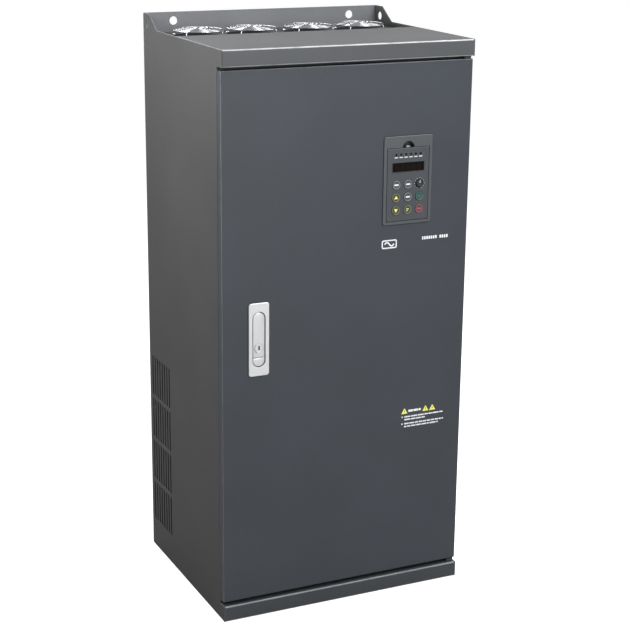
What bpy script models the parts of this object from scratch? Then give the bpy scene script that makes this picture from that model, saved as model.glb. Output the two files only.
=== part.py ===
"""Cabinet-size variable frequency drive.

A folded sheet-steel cabinet with a hinged door, a flush swing-handle lock,
a plug-in operator keypad, four exhaust fans in a recessed deck behind the
top cover, a louvred rear duct and the power electronics inside.

Frame: metres, +Z up, front faces -Y, origin on the floor under the middle of
the cabinet.  The design coordinates below are millimetres: x from the middle,
y measured back from the front plane of the top lip, z from the floor.
"""
import bpy
import bmesh
from math import pi, sin, cos, tan, atan2, hypot, radians, sqrt
from mathutils import Matrix, Vector

# ------------------------------------------------------------------ dimensions
MM = 0.001
W = 500.0            # overall width
D = 400.0            # overall depth
H = 1073.0           # top panel height
H_FLANGE = 1100.0    # top of the rear fixing flange
T = 2.0              # sheet thickness
R_BEND = 3.2         # outer bend radius of the folded sheets
GAP = 0.3            # gap between pieces that touch
XI = W / 2 - T - GAP           # half width between the side panels

LIP_H = 31.0         # front lip of the top cover, and the sill
DOOR_Y0, DOOR_Y1 = 5.0, 21.0   # front and rear plane of the door
DOOR_Z0, DOOR_Z1 = 38.5, 1036.5
FRAME_Y = 23.2       # front plane of the door frame returns
REAR_EDGE = D - T - GAP        # rear end of the side panels
EAR_FOOT_Y, EAR_TOP_Y = 326.0, 366.0
HOLE_R = 8.0         # wall fixing holes
FLANGE_HOLE_X, FLANGE_HOLE_Z = 189.0, 1083.0

RECESS_Y = 228.0     # front wall of the fan recess
DECK_Z = 1062.0      # top face of the fan deck
FAN_X = (-170.5, -60.0, 60.0, 170.5)
FAN_Y = 316.0
FAN_SIZE = 106.0
FAN_H = 38.0
FAN_BORE = 48.0
GUARD_R = 49.5
GUARD_Z = 1077.0      # top of the wire guards

VENT_COLS, VENT_ROWS = 8, 4
VENT_PITCH_Y, VENT_PITCH_Z = 13.6, 91.3
VENT_W, VENT_H = 6.6, 84.3
VENT_Y_LAST, VENT_Z_TOP = 386.0, 417.0

HINGE_X, HINGE_Y = 244.0, 10.0

LOCK_X, LOCK_Z = -178.9, 549.0
LOCK_W, LOCK_H = 40.2, 138.0
REC_R, REC_HALF = 13.0, 52.5   # stadium recess of the lock
KEY_Z = 533.2                  # key cylinder height
LOCK_SPLIT_Z = 514.7           # line between handle and push button
HANDLE_PIVOT = (4.5, 591.7)    # y, z

TRAY_X, TRAY_W = 119.0, 100.0
TRAY_Z0, TRAY_Z1 = 738.0, 902.5
PAD_W, PAD_Z0, PAD_Z1 = 86.0, 744.5, 880.0
PAD_Y0, PAD_Y1 = 2.8, 27.7
KEY_COLS = (-24.3, 0.0, 24.3)
KEY_ROWS = (812.7, 788.9, 765.1)
WINDOW_Z0, WINDOW_Z1 = 836.5, 854.0
KEY_R = 8.3

PLATE_Y = 230.0      # front face of the inner mounting plate

# ------------------------------------------------------------------ scene setup
for ob in list(bpy.data.objects):
    bpy.data.objects.remove(ob, do_unlink=True)

PARTS = bpy.data.collections.new("variable_frequency_drive")
CUTTERS = bpy.data.collections.new("cutters")
bpy.context.scene.collection.children.link(PARTS)
bpy.context.scene.collection.children.link(CUTTERS)


def material(name, rgb, rough, metal=0.0):
    m = bpy.data.materials.new(name)
    m.use_nodes = True
    b = m.node_tree.nodes["Principled BSDF"]
    b.inputs["Base Color"].default_value = (*rgb, 1.0)
    b.inputs["Roughness"].default_value = rough
    b.inputs["Metallic"].default_value = metal
    m.diffuse_color = (*rgb, 1.0)
    return m


PAINT = material("powder_coat", (0.070, 0.076, 0.085), 0.55)
PAINT_TOP = material("powder_coat_top", (0.110, 0.115, 0.120), 0.5)
DOORPAINT = material("powder_coat_door", (0.066, 0.073, 0.085), 0.55)
ZINC = material("zinc_steel", (0.55, 0.56, 0.57), 0.4, 0.9)
SILVER = material("satin_chrome", (0.72, 0.73, 0.74), 0.35, 0.8)
CHROME = material("chrome_wire", (0.85, 0.85, 0.86), 0.12, 1.0)
ALU = material("aluminium", (0.68, 0.69, 0.70), 0.4, 0.9)
BLACK = material("black_plastic", (0.02, 0.021, 0.023), 0.45)
PADPLASTIC = material("keypad_plastic", (0.035, 0.038, 0.043), 0.5)
GLASS = material("display_lens", (0.02, 0.012, 0.010), 0.12)
RUBBER = material("rubber", (0.015, 0.015, 0.015), 0.85)
KEYGREY = material("key_grey", (0.16, 0.17, 0.18), 0.5)
KEYOLIVE = material("key_olive", (0.10, 0.10, 0.04), 0.5)
KEYGREEN = material("key_green", (0.03, 0.20, 0.14), 0.5)
KEYRED = material("key_red", (0.35, 0.04, 0.06), 0.5)
PCB = material("board_green", (0.02, 0.16, 0.07), 0.4)
MODULE = material("module_black", (0.03, 0.03, 0.035), 0.45)
CAPSLEEVE = material("capacitor_sleeve", (0.03, 0.05, 0.12), 0.4)
COPPER = material("tinned_copper", (0.80, 0.45, 0.28), 0.3, 1.0)
CORE = material("choke_core", (0.20, 0.10, 0.05), 0.6)
IVORY = material("terminal_ivory", (0.62, 0.60, 0.52), 0.5)


# ------------------------------------------------------------------ helpers
def pt(x, y, z):
    """Design millimetres to world metres."""
    return Vector((x * MM, (y - D / 2) * MM, z * MM))


def shade(ob, angle=35.0):
    ob.data.shade_smooth()
    ob.data.set_sharp_from_angle(angle=radians(angle))


def add_object(name, mesh, mat=None, coll=PARTS):
    ob = bpy.data.objects.new(name, mesh)
    coll.objects.link(ob)
    if mat is not None:
        mesh.materials.append(mat)
    return ob


def from_bm(name, bm, mat=None, coll=PARTS):
    mesh = bpy.data.meshes.new(name)
    bm.to_mesh(mesh)
    bm.free()
    return add_object(name, mesh, mat, coll)


def bm_box(bm, x0, x1, y0, y1, z0, z1):
    c = pt((x0 + x1) / 2, (y0 + y1) / 2, (z0 + z1) / 2)
    m = Matrix.Translation(c) @ Matrix.Diagonal(
        (abs(x1 - x0) * MM, abs(y1 - y0) * MM, abs(z1 - z0) * MM, 1.0))
    return bmesh.ops.create_cube(bm, size=1.0, matrix=m)["verts"]


AXROT = {"Z": Matrix.Identity(4), "Y": Matrix.Rotation(radians(90), 4, "X"),
         "X": Matrix.Rotation(radians(90), 4, "Y")}


def bm_cyl(bm, r, c, axis, length, seg=24, r2=None):
    m = Matrix.Translation(pt(*c)) @ AXROT[axis]
    return bmesh.ops.create_cone(
        bm, cap_ends=True, cap_tris=False, segments=seg, radius1=r * MM,
        radius2=(r if r2 is None else r2) * MM, depth=length * MM, matrix=m)["verts"]


def box(name, mat, *dims, bevel=0.0, seg=2, coll=PARTS):
    bm = bmesh.new()
    bm_box(bm, *dims)
    ob = from_bm(name, bm, mat, coll)
    if bevel:
        add_bevel(ob, bevel, seg)
    return ob


def add_bevel(ob, width, seg=2, angle=40.0):
    m = ob.modifiers.new("Bevel", "BEVEL")
    m.width = width * MM
    m.segments = seg
    m.limit_method = "ANGLE"
    m.angle_limit = radians(angle)
    return m


def boolean(ob, tool, op="DIFFERENCE"):
    tool.hide_render = True
    tool.display_type = "WIRE"
    m = ob.modifiers.new(op.title(), "BOOLEAN")
    m.operation = op
    m.solver = "EXACT"
    m.object = tool
    return m


def tool_boxes(name, *boxes):
    bm = bmesh.new()
    for b in boxes:
        bm_box(bm, *b)
    return from_bm(name, bm, None, CUTTERS)


def tool_cyls(name, *cyls):
    bm = bmesh.new()
    for c in cyls:
        bm_cyl(bm, *c)
    return from_bm(name, bm, None, CUTTERS)


def cut_boxes(ob, *boxes):
    return boolean(ob, tool_boxes(ob.name + "_cut", *boxes))


def join_boxes(ob, *boxes):
    """Each box overlaps the piece; boxes of one call stay apart."""
    return boolean(ob, tool_boxes(ob.name + "_add", *boxes), "UNION")


PLANES = {
    # local (u, v, w) to world axes
    "YZ": Matrix(((0, 0, 1, 0), (1, 0, 0, 0), (0, 1, 0, 0), (0, 0, 0, 1))),
    "XZ": Matrix(((1, 0, 0, 0), (0, 0, -1, 0), (0, 1, 0, 0), (0, 0, 0, 1))),
    "XY": Matrix.Identity(4),
}


def outline(name, mat, loops, plane, w0, w1, coll=PARTS):
    """Flat outline with holes (loops of u, v), extruded from w0 to w1."""
    cu = bpy.data.curves.new(name + "_outline", "CURVE")
    cu.dimensions = "2D"
    cu.fill_mode = "BOTH"
    cu.extrude = abs(w1 - w0) / 2 * MM
    for loop in loops:
        sp = cu.splines.new("POLY")
        sp.points.add(len(loop) - 1)
        for p, (u, v) in zip(sp.points, loop):
            p.co = (u * MM, v * MM, 0.0, 1.0)
        sp.use_cyclic_u = True
    tmp = bpy.data.objects.new(name + "_curve", cu)
    CUTTERS.objects.link(tmp)
    wm = (w0 + w1) / 2 * MM
    off = {"YZ": Vector((wm, -D / 2 * MM, 0)), "XZ": Vector((0, wm - D / 2 * MM, 0)),
           "XY": Vector((0, -D / 2 * MM, wm))}[plane]
    tmp.matrix_world = Matrix.Translation(off) @ PLANES[plane]
    bpy.context.view_layer.update()
    dg = bpy.context.evaluated_depsgraph_get()
    mesh = bpy.data.meshes.new_from_object(tmp.evaluated_get(dg))
    mw = tmp.matrix_world.copy()
    bpy.data.objects.remove(tmp, do_unlink=True)
    bm = bmesh.new()
    bm.from_mesh(mesh)
    bmesh.ops.remove_doubles(bm, verts=bm.verts, dist=1e-6)
    bmesh.ops.recalc_face_normals(bm, faces=bm.faces)
    bmesh.ops.dissolve_limit(bm, angle_limit=radians(0.5), verts=bm.verts,
                             edges=bm.edges) if len(loops) == 1 else None
    bm.to_mesh(mesh)
    bm.free()
    mesh.name = name
    mesh.transform(mw)
    mesh.materials.clear()
    return add_object(name, mesh, mat, coll)


def circle(cx, cy, r, n=24, a0=0.0):
    return [(cx + r * cos(a0 + 2 * pi * k / n), cy + r * sin(a0 + 2 * pi * k / n))
            for k in range(n)]


def rounded_rect(x0, x1, y0, y1, r, n=4):
    pts = []
    for cx, cy, a in ((x1 - r, y1 - r, 0), (x0 + r, y1 - r, 90),
                      (x0 + r, y0 + r, 180), (x1 - r, y0 + r, 270)):
        for k in range(n + 1):
            t = radians(a + 90.0 * k / n)
            pts.append((cx + r * cos(t), cy + r * sin(t)))
    return pts


def arc(cx, cy, r, a0, a1, n):
    return [(cx + r * cos(radians(a0 + (a1 - a0) * k / n)),
             cy + r * sin(radians(a0 + (a1 - a0) * k / n))) for k in range(n + 1)]


def sheet_path(path, t=T, r=R_BEND, seg=3):
    """Closed outline of a folded sheet. The path is its outer face and the
    sheet lies to the left of the direction of travel."""
    def unit(a, b):
        dx, dy = b[0] - a[0], b[1] - a[1]
        l = hypot(dx, dy)
        return dx / l, dy / l
    a_side, b_side = [], []
    d = unit(path[0], path[1])
    a_side.append(path[0])
    b_side.append((path[0][0] - d[1] * t, path[0][1] + d[0] * t))
    for i in range(1, len(path) - 1):
        d0, d1 = unit(path[i - 1], path[i]), unit(path[i], path[i + 1])
        phi = atan2(d0[0] * d1[1] - d0[1] * d1[0], d0[0] * d1[0] + d0[1] * d1[1])
        s = 1.0 if phi > 0 else -1.0
        ra = r if s > 0 else r - t
        rb = ra - s * t
        ln = ra * tan(abs(phi) / 2)
        nx, ny = -d0[1], d0[0]
        cx = path[i][0] - d0[0] * ln + s * nx * ra
        cy = path[i][1] - d0[1] * ln + s * ny * ra
        for k in range(seg + 1):
            a = phi * k / seg
            vx, vy = -s * nx, -s * ny
            px, py = vx * cos(a) - vy * sin(a), vx * sin(a) + vy * cos(a)
            a_side.append((cx + px * ra, cy + py * ra))
            b_side.append((cx + px * rb, cy + py * rb))
    d = unit(path[-2], path[-1])
    a_side.append(path[-1])
    b_side.append((path[-1][0] - d[1] * t, path[-1][1] + d[0] * t))
    return a_side + b_side[::-1]


def bake(ob):
    """Apply the modifiers, so that copies can share the mesh."""
    bpy.context.view_layer.update()
    dg = bpy.context.evaluated_depsgraph_get()
    mesh = bpy.data.meshes.new_from_object(ob.evaluated_get(dg))
    tools = [m.object for m in ob.modifiers if m.type == "BOOLEAN"]
    ob.modifiers.clear()
    ob.data = mesh
    for t in tools:
        bpy.data.objects.remove(t, do_unlink=True)
    return ob


# ------------------------------------------------------------------ side panels
def side_panel(name, sgn):
    outer = [(0, 0), (REAR_EDGE, 0), (REAR_EDGE, H_FLANGE)]
    outer += [(EAR_TOP_Y + 1.5, H_FLANGE), (EAR_TOP_Y - 1.0, H_FLANGE - 1.2),
              (EAR_FOOT_Y + 1.0, H + 0.8), (EAR_FOOT_Y - 2.0, H)]
    outer += [(1.2, H), (0, H - 1.2), (0, H - LIP_H), (FRAME_Y, H - LIP_H),
              (FRAME_Y, LIP_H), (0, LIP_H)]
    x0, x1 = (-W / 2, -W / 2 + T) if sgn < 0 else (W / 2 - T, W / 2)
    ob = outline(name, PAINT, [outer, circle(377.0, 1080.5, HOLE_R, 16)], "YZ", x0, x1)
    # door frame return, folded inwards along the front edge
    a, b = sorted((sgn * (W / 2 - T / 2), sgn * (W / 2 - 20.0)))
    join_boxes(ob, (a, b, FRAME_Y, FRAME_Y + T, LIP_H + 1.0, H - LIP_H - 1.0))
    # four rows of cooling slots near the rear edge
    slots = []
    for c in range(VENT_COLS):
        y1 = VENT_Y_LAST - c * VENT_PITCH_Y
        for r in range(VENT_ROWS):
            z1 = VENT_Z_TOP - r * VENT_PITCH_Z
            slots.append(rounded_rect(y1 - VENT_W, y1, z1 - VENT_H, z1, 1.6, 1))
    boolean(ob, outline(name + "_slots", None, slots, "YZ", x0 - 3, x1 + 3, CUTTERS))
    shade(ob)
    return ob


side_panel("side_panel_left", -1)
side_panel("side_panel_right", 1)

# ------------------------------------------------------------------ back panel
back = outline("back_panel", PAINT_TOP, [
    rounded_rect(-W / 2, W / 2, 0, H_FLANGE, 1.0, 1),
    circle(-FLANGE_HOLE_X, FLANGE_HOLE_Z, HOLE_R, 16),
    circle(FLANGE_HOLE_X, FLANGE_HOLE_Z, HOLE_R, 16),
    circle(-FLANGE_HOLE_X, 18.0, HOLE_R, 16),
    circle(FLANGE_HOLE_X, 18.0, HOLE_R, 16)], "XZ", D - T, D)
shade(back)

# ------------------------------------------------------------------ top cover
top = outline("top_cover", PAINT_TOP, [sheet_path([
    (RECESS_Y, 1052.0), (RECESS_Y, H), (0, H), (0, H - LIP_H), (20.0, H - LIP_H)],
    r=3.6, seg=4)], "YZ", -XI, XI)
shade(top)

# ------------------------------------------------------------------ base and sill
base = outline("base_sill", PAINT, [sheet_path([
    (20.0, LIP_H), (0, LIP_H), (0, 0), (REAR_EDGE, 0)], r=3.6, seg=4)],
    "YZ", -XI, XI)
cut_boxes(base, (-150, 150, 90, 250, -5, 10))
shade(base)

gland = outline("gland_plate", ZINC, [
    rounded_rect(-164, 164, 78, 262, 6.0, 3),
    circle(-100, 170, 32, 16), circle(0, 170, 32, 16), circle(100, 170, 32, 16)],
    "XY", T + GAP, T + GAP + 2.5)
shade(gland)

# rails that close the door frame at the top and the bottom
rail_u = outline("door_rail_upper", PAINT, [sheet_path([
    (FRAME_Y, 1012.0), (FRAME_Y, H - T - GAP), (50.0, H - T - GAP)][::-1],
    r=3.0, seg=3)], "YZ", -229.7, 229.7)
shade(rail_u)
rail_l = outline("door_rail_lower", PAINT, [sheet_path([
    (FRAME_Y, 60.0), (FRAME_Y, T + GAP), (50.0, T + GAP)], r=3.0, seg=3)],
    "YZ", -229.7, 229.7)
shade(rail_l)

# ------------------------------------------------------------------ fan deck
deck = outline("fan_deck", ZINC, [
    [(-XI, RECESS_Y + GAP), (XI, RECESS_Y + GAP), (XI, REAR_EDGE), (-XI, REAR_EDGE)]] +
    [circle(x, FAN_Y, FAN_BORE, 20) for x in FAN_X], "XY", DECK_Z - T, DECK_Z)
shade(deck)

# one fan of each kind is modelled in place; the others share its mesh
FZ1 = DECK_Z - T - GAP
FZ0 = FZ1 - FAN_H
fx = FAN_X[0]
h = FAN_SIZE / 2
frame = outline("fan_frame_1", BLACK, [
    rounded_rect(fx - h, fx + h, FAN_Y - h, FAN_Y + h, 6.0, 1),
    circle(fx, FAN_Y, FAN_BORE, 20)], "XY", FZ0, FZ1)
boolean(frame, tool_boxes("fan_frame_strut_x", (fx - 50, fx + 50, FAN_Y - 3, FAN_Y + 3,
                                                FZ0, FZ0 + 3)), "UNION")
boolean(frame, tool_boxes("fan_frame_strut_y", (fx - 3, fx + 3, FAN_Y - 50, FAN_Y + 50,
                                                FZ0, FZ0 + 3)), "UNION")
boolean(frame, tool_cyls("fan_frame_boss", (20, (fx, FAN_Y, FZ0 + 2), "Z", 4.0, 12)),
        "UNION")
bake(frame)
shade(frame)

bm = bmesh.new()
bm_cyl(bm, 20.0, (fx, FAN_Y, (FZ0 + 5 + FZ1 - 3) / 2), "Z", FZ1 - 3 - FZ0 - 5, 14)
rotor = from_bm("fan_rotor_1", bm, BLACK)
bm = bmesh.new()
BLADES = 7
for k in range(BLADES):
    verts = bmesh.ops.create_cube(bm, size=1.0, matrix=Matrix.Diagonal(
        (28.5 * MM, 20.0 * MM, 1.8 * MM, 1.0)))["verts"]
    m = (Matrix.Translation(pt(fx, FAN_Y, (FZ0 + FZ1) / 2 + 1)) @
         Matrix.Rotation(2 * pi * k / BLADES, 4, "Z") @
         Matrix.Translation(Vector((31.0 * MM, 0, 0))) @
         Matrix.Rotation(radians(42), 4, "X"))
    bmesh.ops.transform(bm, matrix=m, verts=verts)
boolean(rotor, from_bm("fan_rotor_blades", bm, None, CUTTERS), "UNION")
bake(rotor)
shade(rotor)


def sector(cx, cy, r0, r1, a0, a1, half, n):
    """Ring sector between two spokes of half width half."""
    d0, d1 = half / r0, half / r1
    inner = arc(cx, cy, r0, a0 + d0 * 57.3, a1 - d0 * 57.3, n)
    outer = arc(cx, cy, r1, a0 + d1 * 57.3, a1 - d1 * 57.3, n)
    return outer + inner[::-1]


loops = [circle(fx, FAN_Y, GUARD_R, 20)]
for q in range(4):
    a0, a1 = 45 + 90 * q, 135 + 90 * q
    loops.append(sector(fx, FAN_Y, 33.0, 46.0, a0, a1, 1.6, 4))
    loops.append(sector(fx, FAN_Y, 15.0, 30.0, a0, a1, 1.6, 3))
guard = outline("fan_guard_1", CHROME, loops, "XY", GUARD_Z - 2.6, GUARD_Z)
legs = []
for q in range(4):
    a = radians(45 + 90 * q)
    cx, cy = fx + 47.9 * cos(a), FAN_Y + 47.9 * sin(a)
    # leg footprint stays on the deck, just outside the bore
    cx2, cy2 = fx + 51.2 * cos(a), FAN_Y + 51.2 * sin(a)
    legs.append((cx2 - 2.2, cx2 + 2.2, cy2 - 2.2, cy2 + 2.2, DECK_Z + GAP, GUARD_Z - 1.2))
boolean(guard, tool_boxes("fan_guard_legs", *legs), "UNION")
bake(guard)
shade(guard)

for i in range(1, 4):
    for src in (frame, rotor, guard):
        ob = bpy.data.objects.new(src.name[:-1] + str(i + 1), src.data)
        PARTS.objects.link(ob)
        ob.location = ((FAN_X[i] - FAN_X[0]) * MM, 0, 0)


def set_origin(ob, x, y, z):
    """Put the object's origin on its joint axis without moving its mesh."""
    c = pt(x, y, z)
    ob.data.transform(Matrix.Translation(-c))
    ob.location = c


c = pt(fx, FAN_Y, (FZ0 + FZ1) / 2)
rotor.data.transform(Matrix.Translation(-c))
for i in range(4):
    ob = bpy.data.objects["fan_rotor_%d" % (i + 1)]
    ob.location = pt(FAN_X[i], FAN_Y, (FZ0 + FZ1) / 2)

# ------------------------------------------------------------------ door
bm = bmesh.new()
bm_box(bm, -W / 2, W / 2, DOOR_Y0, DOOR_Y1, DOOR_Z0, DOOR_Z1)
yf = (DOOR_Y0 - D / 2) * MM
edges = [e for e in bm.edges if all(abs(v.co.y - yf) < 1e-6 for v in e.verts)]
bmesh.ops.bevel(bm, geom=edges, offset=2.2 * MM, offset_type="OFFSET", segments=3,
                profile=0.5, affect="EDGES")
door = from_bm("door_panel", bm, DOORPAINT)
cut_boxes(door, (-W / 2 + T, W / 2 - T, DOOR_Y0 + T, DOOR_Y1 - T, DOOR_Z0 + T, DOOR_Z1 - T))
boolean(door, tool_boxes("door_mouth", (-236, 236, 15, 30, DOOR_Z0 + 14, DOOR_Z1 - 14)))
boolean(door, tool_boxes("door_cutouts",
                         (LOCK_X - 15.4, LOCK_X + 15.4, 0, 12, LOCK_Z - 60.4, LOCK_Z + 60.4),
                         (TRAY_X - 47.9, TRAY_X + 47.9, 0, 12, TRAY_Z0 + 2.2, TRAY_Z1 - 2.2)))
boolean(door, tool_cyls("door_pin_holes",
                        (3.2, (HINGE_X, HINGE_Y, DOOR_Z1 - 3), "Z", 12, 20),
                        (3.2, (HINGE_X, HINGE_Y, DOOR_Z0 + 3), "Z", 12, 20)))
shade(door)

ring = outline("door_gasket", RUBBER, [
    rounded_rect(-245, 245, DOOR_Z0 + 4, DOOR_Z1 - 4, 3, 2),
    rounded_rect(-236.5, 236.5, DOOR_Z0 + 13, DOOR_Z1 - 13, 2, 2)],
    "XZ", DOOR_Y1 + GAP, DOOR_Y1 + GAP + 1.5)

# vertical hat stiffener inside the door
stiff = outline("door_stiffener", DOORPAINT, [sheet_path([
    (-60, DOOR_Y0 + T + GAP), (-36, DOOR_Y0 + T + GAP), (-36, 17.0), (-4, 17.0),
    (-4, DOOR_Y0 + T + GAP), (20, DOOR_Y0 + T + GAP)], t=1.5, r=2.6, seg=2)],
    "XY", 80.0, 995.0)

# ------------------------------------------------------------------ pivot hinges
# a pin plate under the lip and one on the sill; a bored block in each door corner
for nm, zp0, zp1, zpin, zb0, zb1 in (
        ("upper", DOOR_Z1 + 1.2, H - LIP_H - GAP, (1016.0, DOOR_Z1 + 2), 1012.0, DOOR_Z1 - T - GAP),
        ("lower", LIP_H + GAP, DOOR_Z0 - 1.2, (DOOR_Z0 - 2, 59.0), DOOR_Z0 + T + GAP, 63.0)):
    plate = outline("hinge_%s_pin_plate" % nm, ZINC, [
        rounded_rect(232.0, XI, 6.6, 19.0, 3.0, 3)], "XY", zp0, zp1)
    boolean(plate, tool_cyls("hinge_%s_pin" % nm,
                             (2.5, (HINGE_X, HINGE_Y, sum(zpin) / 2), "Z",
                              abs(zpin[1] - zpin[0]), 20)), "UNION")
    shade(plate)
    blk = box("hinge_%s_block" % nm, ZINC, 236.0, W / 2 - T - GAP,
              DOOR_Y0 + T + GAP, DOOR_Y1 - T - GAP, zb0, zb1)
    boolean(blk, tool_cyls("hinge_%s_bore" % nm,
                           (2.85, (HINGE_X, HINGE_Y, (zb0 + zb1) / 2), "Z",
                            abs(zb1 - zb0) + 10, 20)))
    shade(blk)

# ------------------------------------------------------------------ door lock
plate = outline("lock_plate", SILVER, [
    rounded_rect(LOCK_X - LOCK_W / 2, LOCK_X + LOCK_W / 2, LOCK_Z - LOCK_H / 2,
                 LOCK_Z + LOCK_H / 2, 5.0, 5)], "XZ", 2.4, DOOR_Y0 - GAP)
add_bevel(plate, 0.9, 2, 50)
join_boxes(plate, (LOCK_X - 15, LOCK_X + 15, 4.0, 24.0, LOCK_Z - 60, LOCK_Z + 60))


def stadium(r, half):
    top = arc(LOCK_X, LOCK_Z + half - REC_R, r, 0, 180, 10)
    bot = arc(LOCK_X, LOCK_Z - half + REC_R, r, 180, 360, 10)
    return top + bot


rec = outline("lock_recess", None, [stadium(REC_R, REC_HALF)], "XZ", 0.0, 14.0, CUTTERS)
boolean(plate, rec)
shade(plate)

RH = REC_R - 0.4
z_top = LOCK_Z + REC_HALF - REC_R
handle = outline("lock_handle", SILVER, [
    arc(LOCK_X, z_top, RH, 0, 180, 10) +
    [(LOCK_X - RH, LOCK_SPLIT_Z), (LOCK_X + RH, LOCK_SPLIT_Z)],
    circle(LOCK_X, KEY_Z, 9.3, 24)], "XZ", 3.0, 7.5)
set_origin(handle, LOCK_X, *HANDLE_PIVOT)
add_bevel(handle, 0.5, 1, 50)
shade(handle)

bm = bmesh.new()
bm_cyl(bm, 8.9, (LOCK_X, 7.2, KEY_Z), "Y", 9.6, 28)
cyl = from_bm("lock_cylinder", bm, SILVER)
boolean(cyl, tool_boxes("lock_key_slot", (LOCK_X - 1.1, LOCK_X + 1.1, 0, 6.0,
                                          KEY_Z - 4.2, KEY_Z + 4.2)))
shade(cyl)

z_bot = LOCK_Z - REC_HALF + REC_R
button = outline("lock_button", SILVER, [
    [(LOCK_X + RH, LOCK_SPLIT_Z - 0.6), (LOCK_X - RH, LOCK_SPLIT_Z - 0.6)] +
    arc(LOCK_X, z_bot, RH, 180, 360, 10)], "XZ", 3.0, 9.0)
add_bevel(button, 0.5, 1, 50)
shade(button)

cam = outline("lock_cam", ZINC, [
    [(LOCK_X + 9, KEY_Z)] + [(LOCK_X + 9, KEY_Z + 56), (LOCK_X + 5, KEY_Z + 60),
                             (LOCK_X - 5, KEY_Z + 60), (LOCK_X - 9, KEY_Z + 56)] +
    arc(LOCK_X, KEY_Z, 9, 180, 360, 8)[:-1]], "XZ", 26.2, 29.2)
boolean(cam, tool_cyls("lock_cam_boss", (7.0, (LOCK_X, 26.8, KEY_Z), "Y", 5.0, 20)), "UNION")
shade(cam)

# ------------------------------------------------------------------ operator keypad
tray = outline("keypad_tray", PADPLASTIC, [
    rounded_rect(TRAY_X - TRAY_W / 2, TRAY_X + TRAY_W / 2, TRAY_Z0, TRAY_Z1, 4.0, 4)],
    "XZ", 3.2, DOOR_Y0 - GAP)
add_bevel(tray, 0.6, 1, 50)
join_boxes(tray, (TRAY_X - 47.5, TRAY_X + 47.5, 4.2, 30.0, TRAY_Z0 + 2.6, TRAY_Z1 - 2.6))
boolean(tray, tool_boxes("tray_pocket", (TRAY_X - PAD_W / 2 - 1.1, TRAY_X + PAD_W / 2 + 1.1,
                                         0, 28.0, PAD_Z0 - 1.1, PAD_Z1 + 1.1)))
boolean(tray, tool_cyls("tray_notch", (12.5, (TRAY_X, 8.0, PAD_Z1 + 0.4), "Y", 20.0, 28)))
shade(tray)

bm = bmesh.new()
bm_box(bm, TRAY_X - PAD_W / 2, TRAY_X + PAD_W / 2, PAD_Y0, PAD_Y1, PAD_Z0, PAD_Z1)
yf = (PAD_Y0 - D / 2) * MM
edges = [e for e in bm.edges if any(abs(v.co.y - yf) < 1e-6 for v in e.verts)]
bmesh.ops.bevel(bm, geom=edges, offset=1.2 * MM, offset_type="OFFSET", segments=2,
                profile=0.5, affect="EDGES")
pad = from_bm("keypad_body", bm, PADPLASTIC)
boolean(pad, tool_cyls("keypad_key_pockets", *[
    (KEY_R + 0.6, (TRAY_X + cx, 3.5, rz), "Y", 8.0, 14)
    for rz in KEY_ROWS for cx in KEY_COLS]))
boolean(pad, tool_boxes("keypad_window", (TRAY_X - 33, TRAY_X + 33, 0, 4.4, WINDOW_Z0, WINDOW_Z1)))
shade(pad)

box("keypad_display", GLASS, TRAY_X - 32.6, TRAY_X + 32.6, 2.5, 4.1,
    WINDOW_Z0 + 0.4, WINDOW_Z1 - 0.4)

KEYS = (
    ("key_program", 0, 0, KEYGREY), ("key_enter", 1, 0, KEYGREY),
    ("key_up", 0, 1, KEYOLIVE), ("key_shift", 1, 1, KEYGREY), ("key_run", 2, 1, KEYGREEN),
    ("key_down", 0, 2, KEYOLIVE), ("key_jog", 1, 2, KEYOLIVE), ("key_stop", 2, 2, KEYRED))
for nm, col, row, mat in KEYS:
    x, z = TRAY_X + KEY_COLS[col], KEY_ROWS[row]
    bm = bmesh.new()
    bm_cyl(bm, KEY_R, (x, (1.4 + 5.6) / 2, z), "Y", 4.2, 18)
    k = from_bm(nm, bm, mat)
    set_origin(k, x, 3.5, z)
    shade(k)

x, z = TRAY_X + KEY_COLS[2], KEY_ROWS[0]
bm = bmesh.new()
bm_cyl(bm, 7.4, (x, 3.4, z), "Y", 5.6, 24)
knob = from_bm("speed_knob", bm, BLACK)
boolean(knob, tool_boxes("speed_knob_mark", (x - 0.8, x + 0.8, 0, 1.4, z + 1.0, z + 9)))
shade(knob)

# ------------------------------------------------------------------ inner mounting plate
box("mounting_plate", ZINC, -XI, XI, PLATE_Y, PLATE_Y + T, 14.0, 1016.0)

# finned heatsink in the rear duct
FINS, FIN_T = 12, 5.0
hw, b0, b1, fin_end = 205.0, PLATE_Y + T + GAP, PLATE_Y + T + GAP + 12.0, 384.0
pitch = (2 * hw - FIN_T) / (FINS - 1)
comb = [(hw, b0), (-hw, b0)]
for k in range(FINS):
    x = -hw + k * pitch
    comb += [(x, b1) if k else (x, fin_end), (x, fin_end), (x + FIN_T, fin_end), (x + FIN_T, b1)]
comb = [p for i, p in enumerate(comb) if i == 0 or p != comb[i - 1]]
comb[-1] = (hw, fin_end) if comb[-1][0] > hw else comb[-1]
comb = comb[:-1] if abs(comb[-1][0] - hw) < 1e-6 and comb[-1][1] == b1 else comb
outline("heatsink", ALU, [comb], "XY", 130.0, 830.0)

# ------------------------------------------------------------------ power electronics
for i, x in enumerate((-105.0, 0.0, 105.0)):
    m = box("igbt_module_%d" % (i + 1), MODULE, x - 31, x + 31, 200.0, PLATE_Y - GAP,
            300.0, 406.0)
    boolean(m, tool_cyls("igbt_studs_%d" % (i + 1), *[
        (6.0, (x, 198.0, z), "Y", 8.0, 8) for z in (322.0, 350.0, 378.0)]), "UNION")
rect = box("rectifier_module", MODULE, -160, -40, 204.0, PLATE_Y - GAP, 190.0, 250.0)
boolean(rect, tool_cyls("rectifier_studs", *[
    (6.0, (x, 202.0, 220.0), "Y", 8.0, 8) for x in (-145, -122, -100, -78, -55)]), "UNION")

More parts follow.
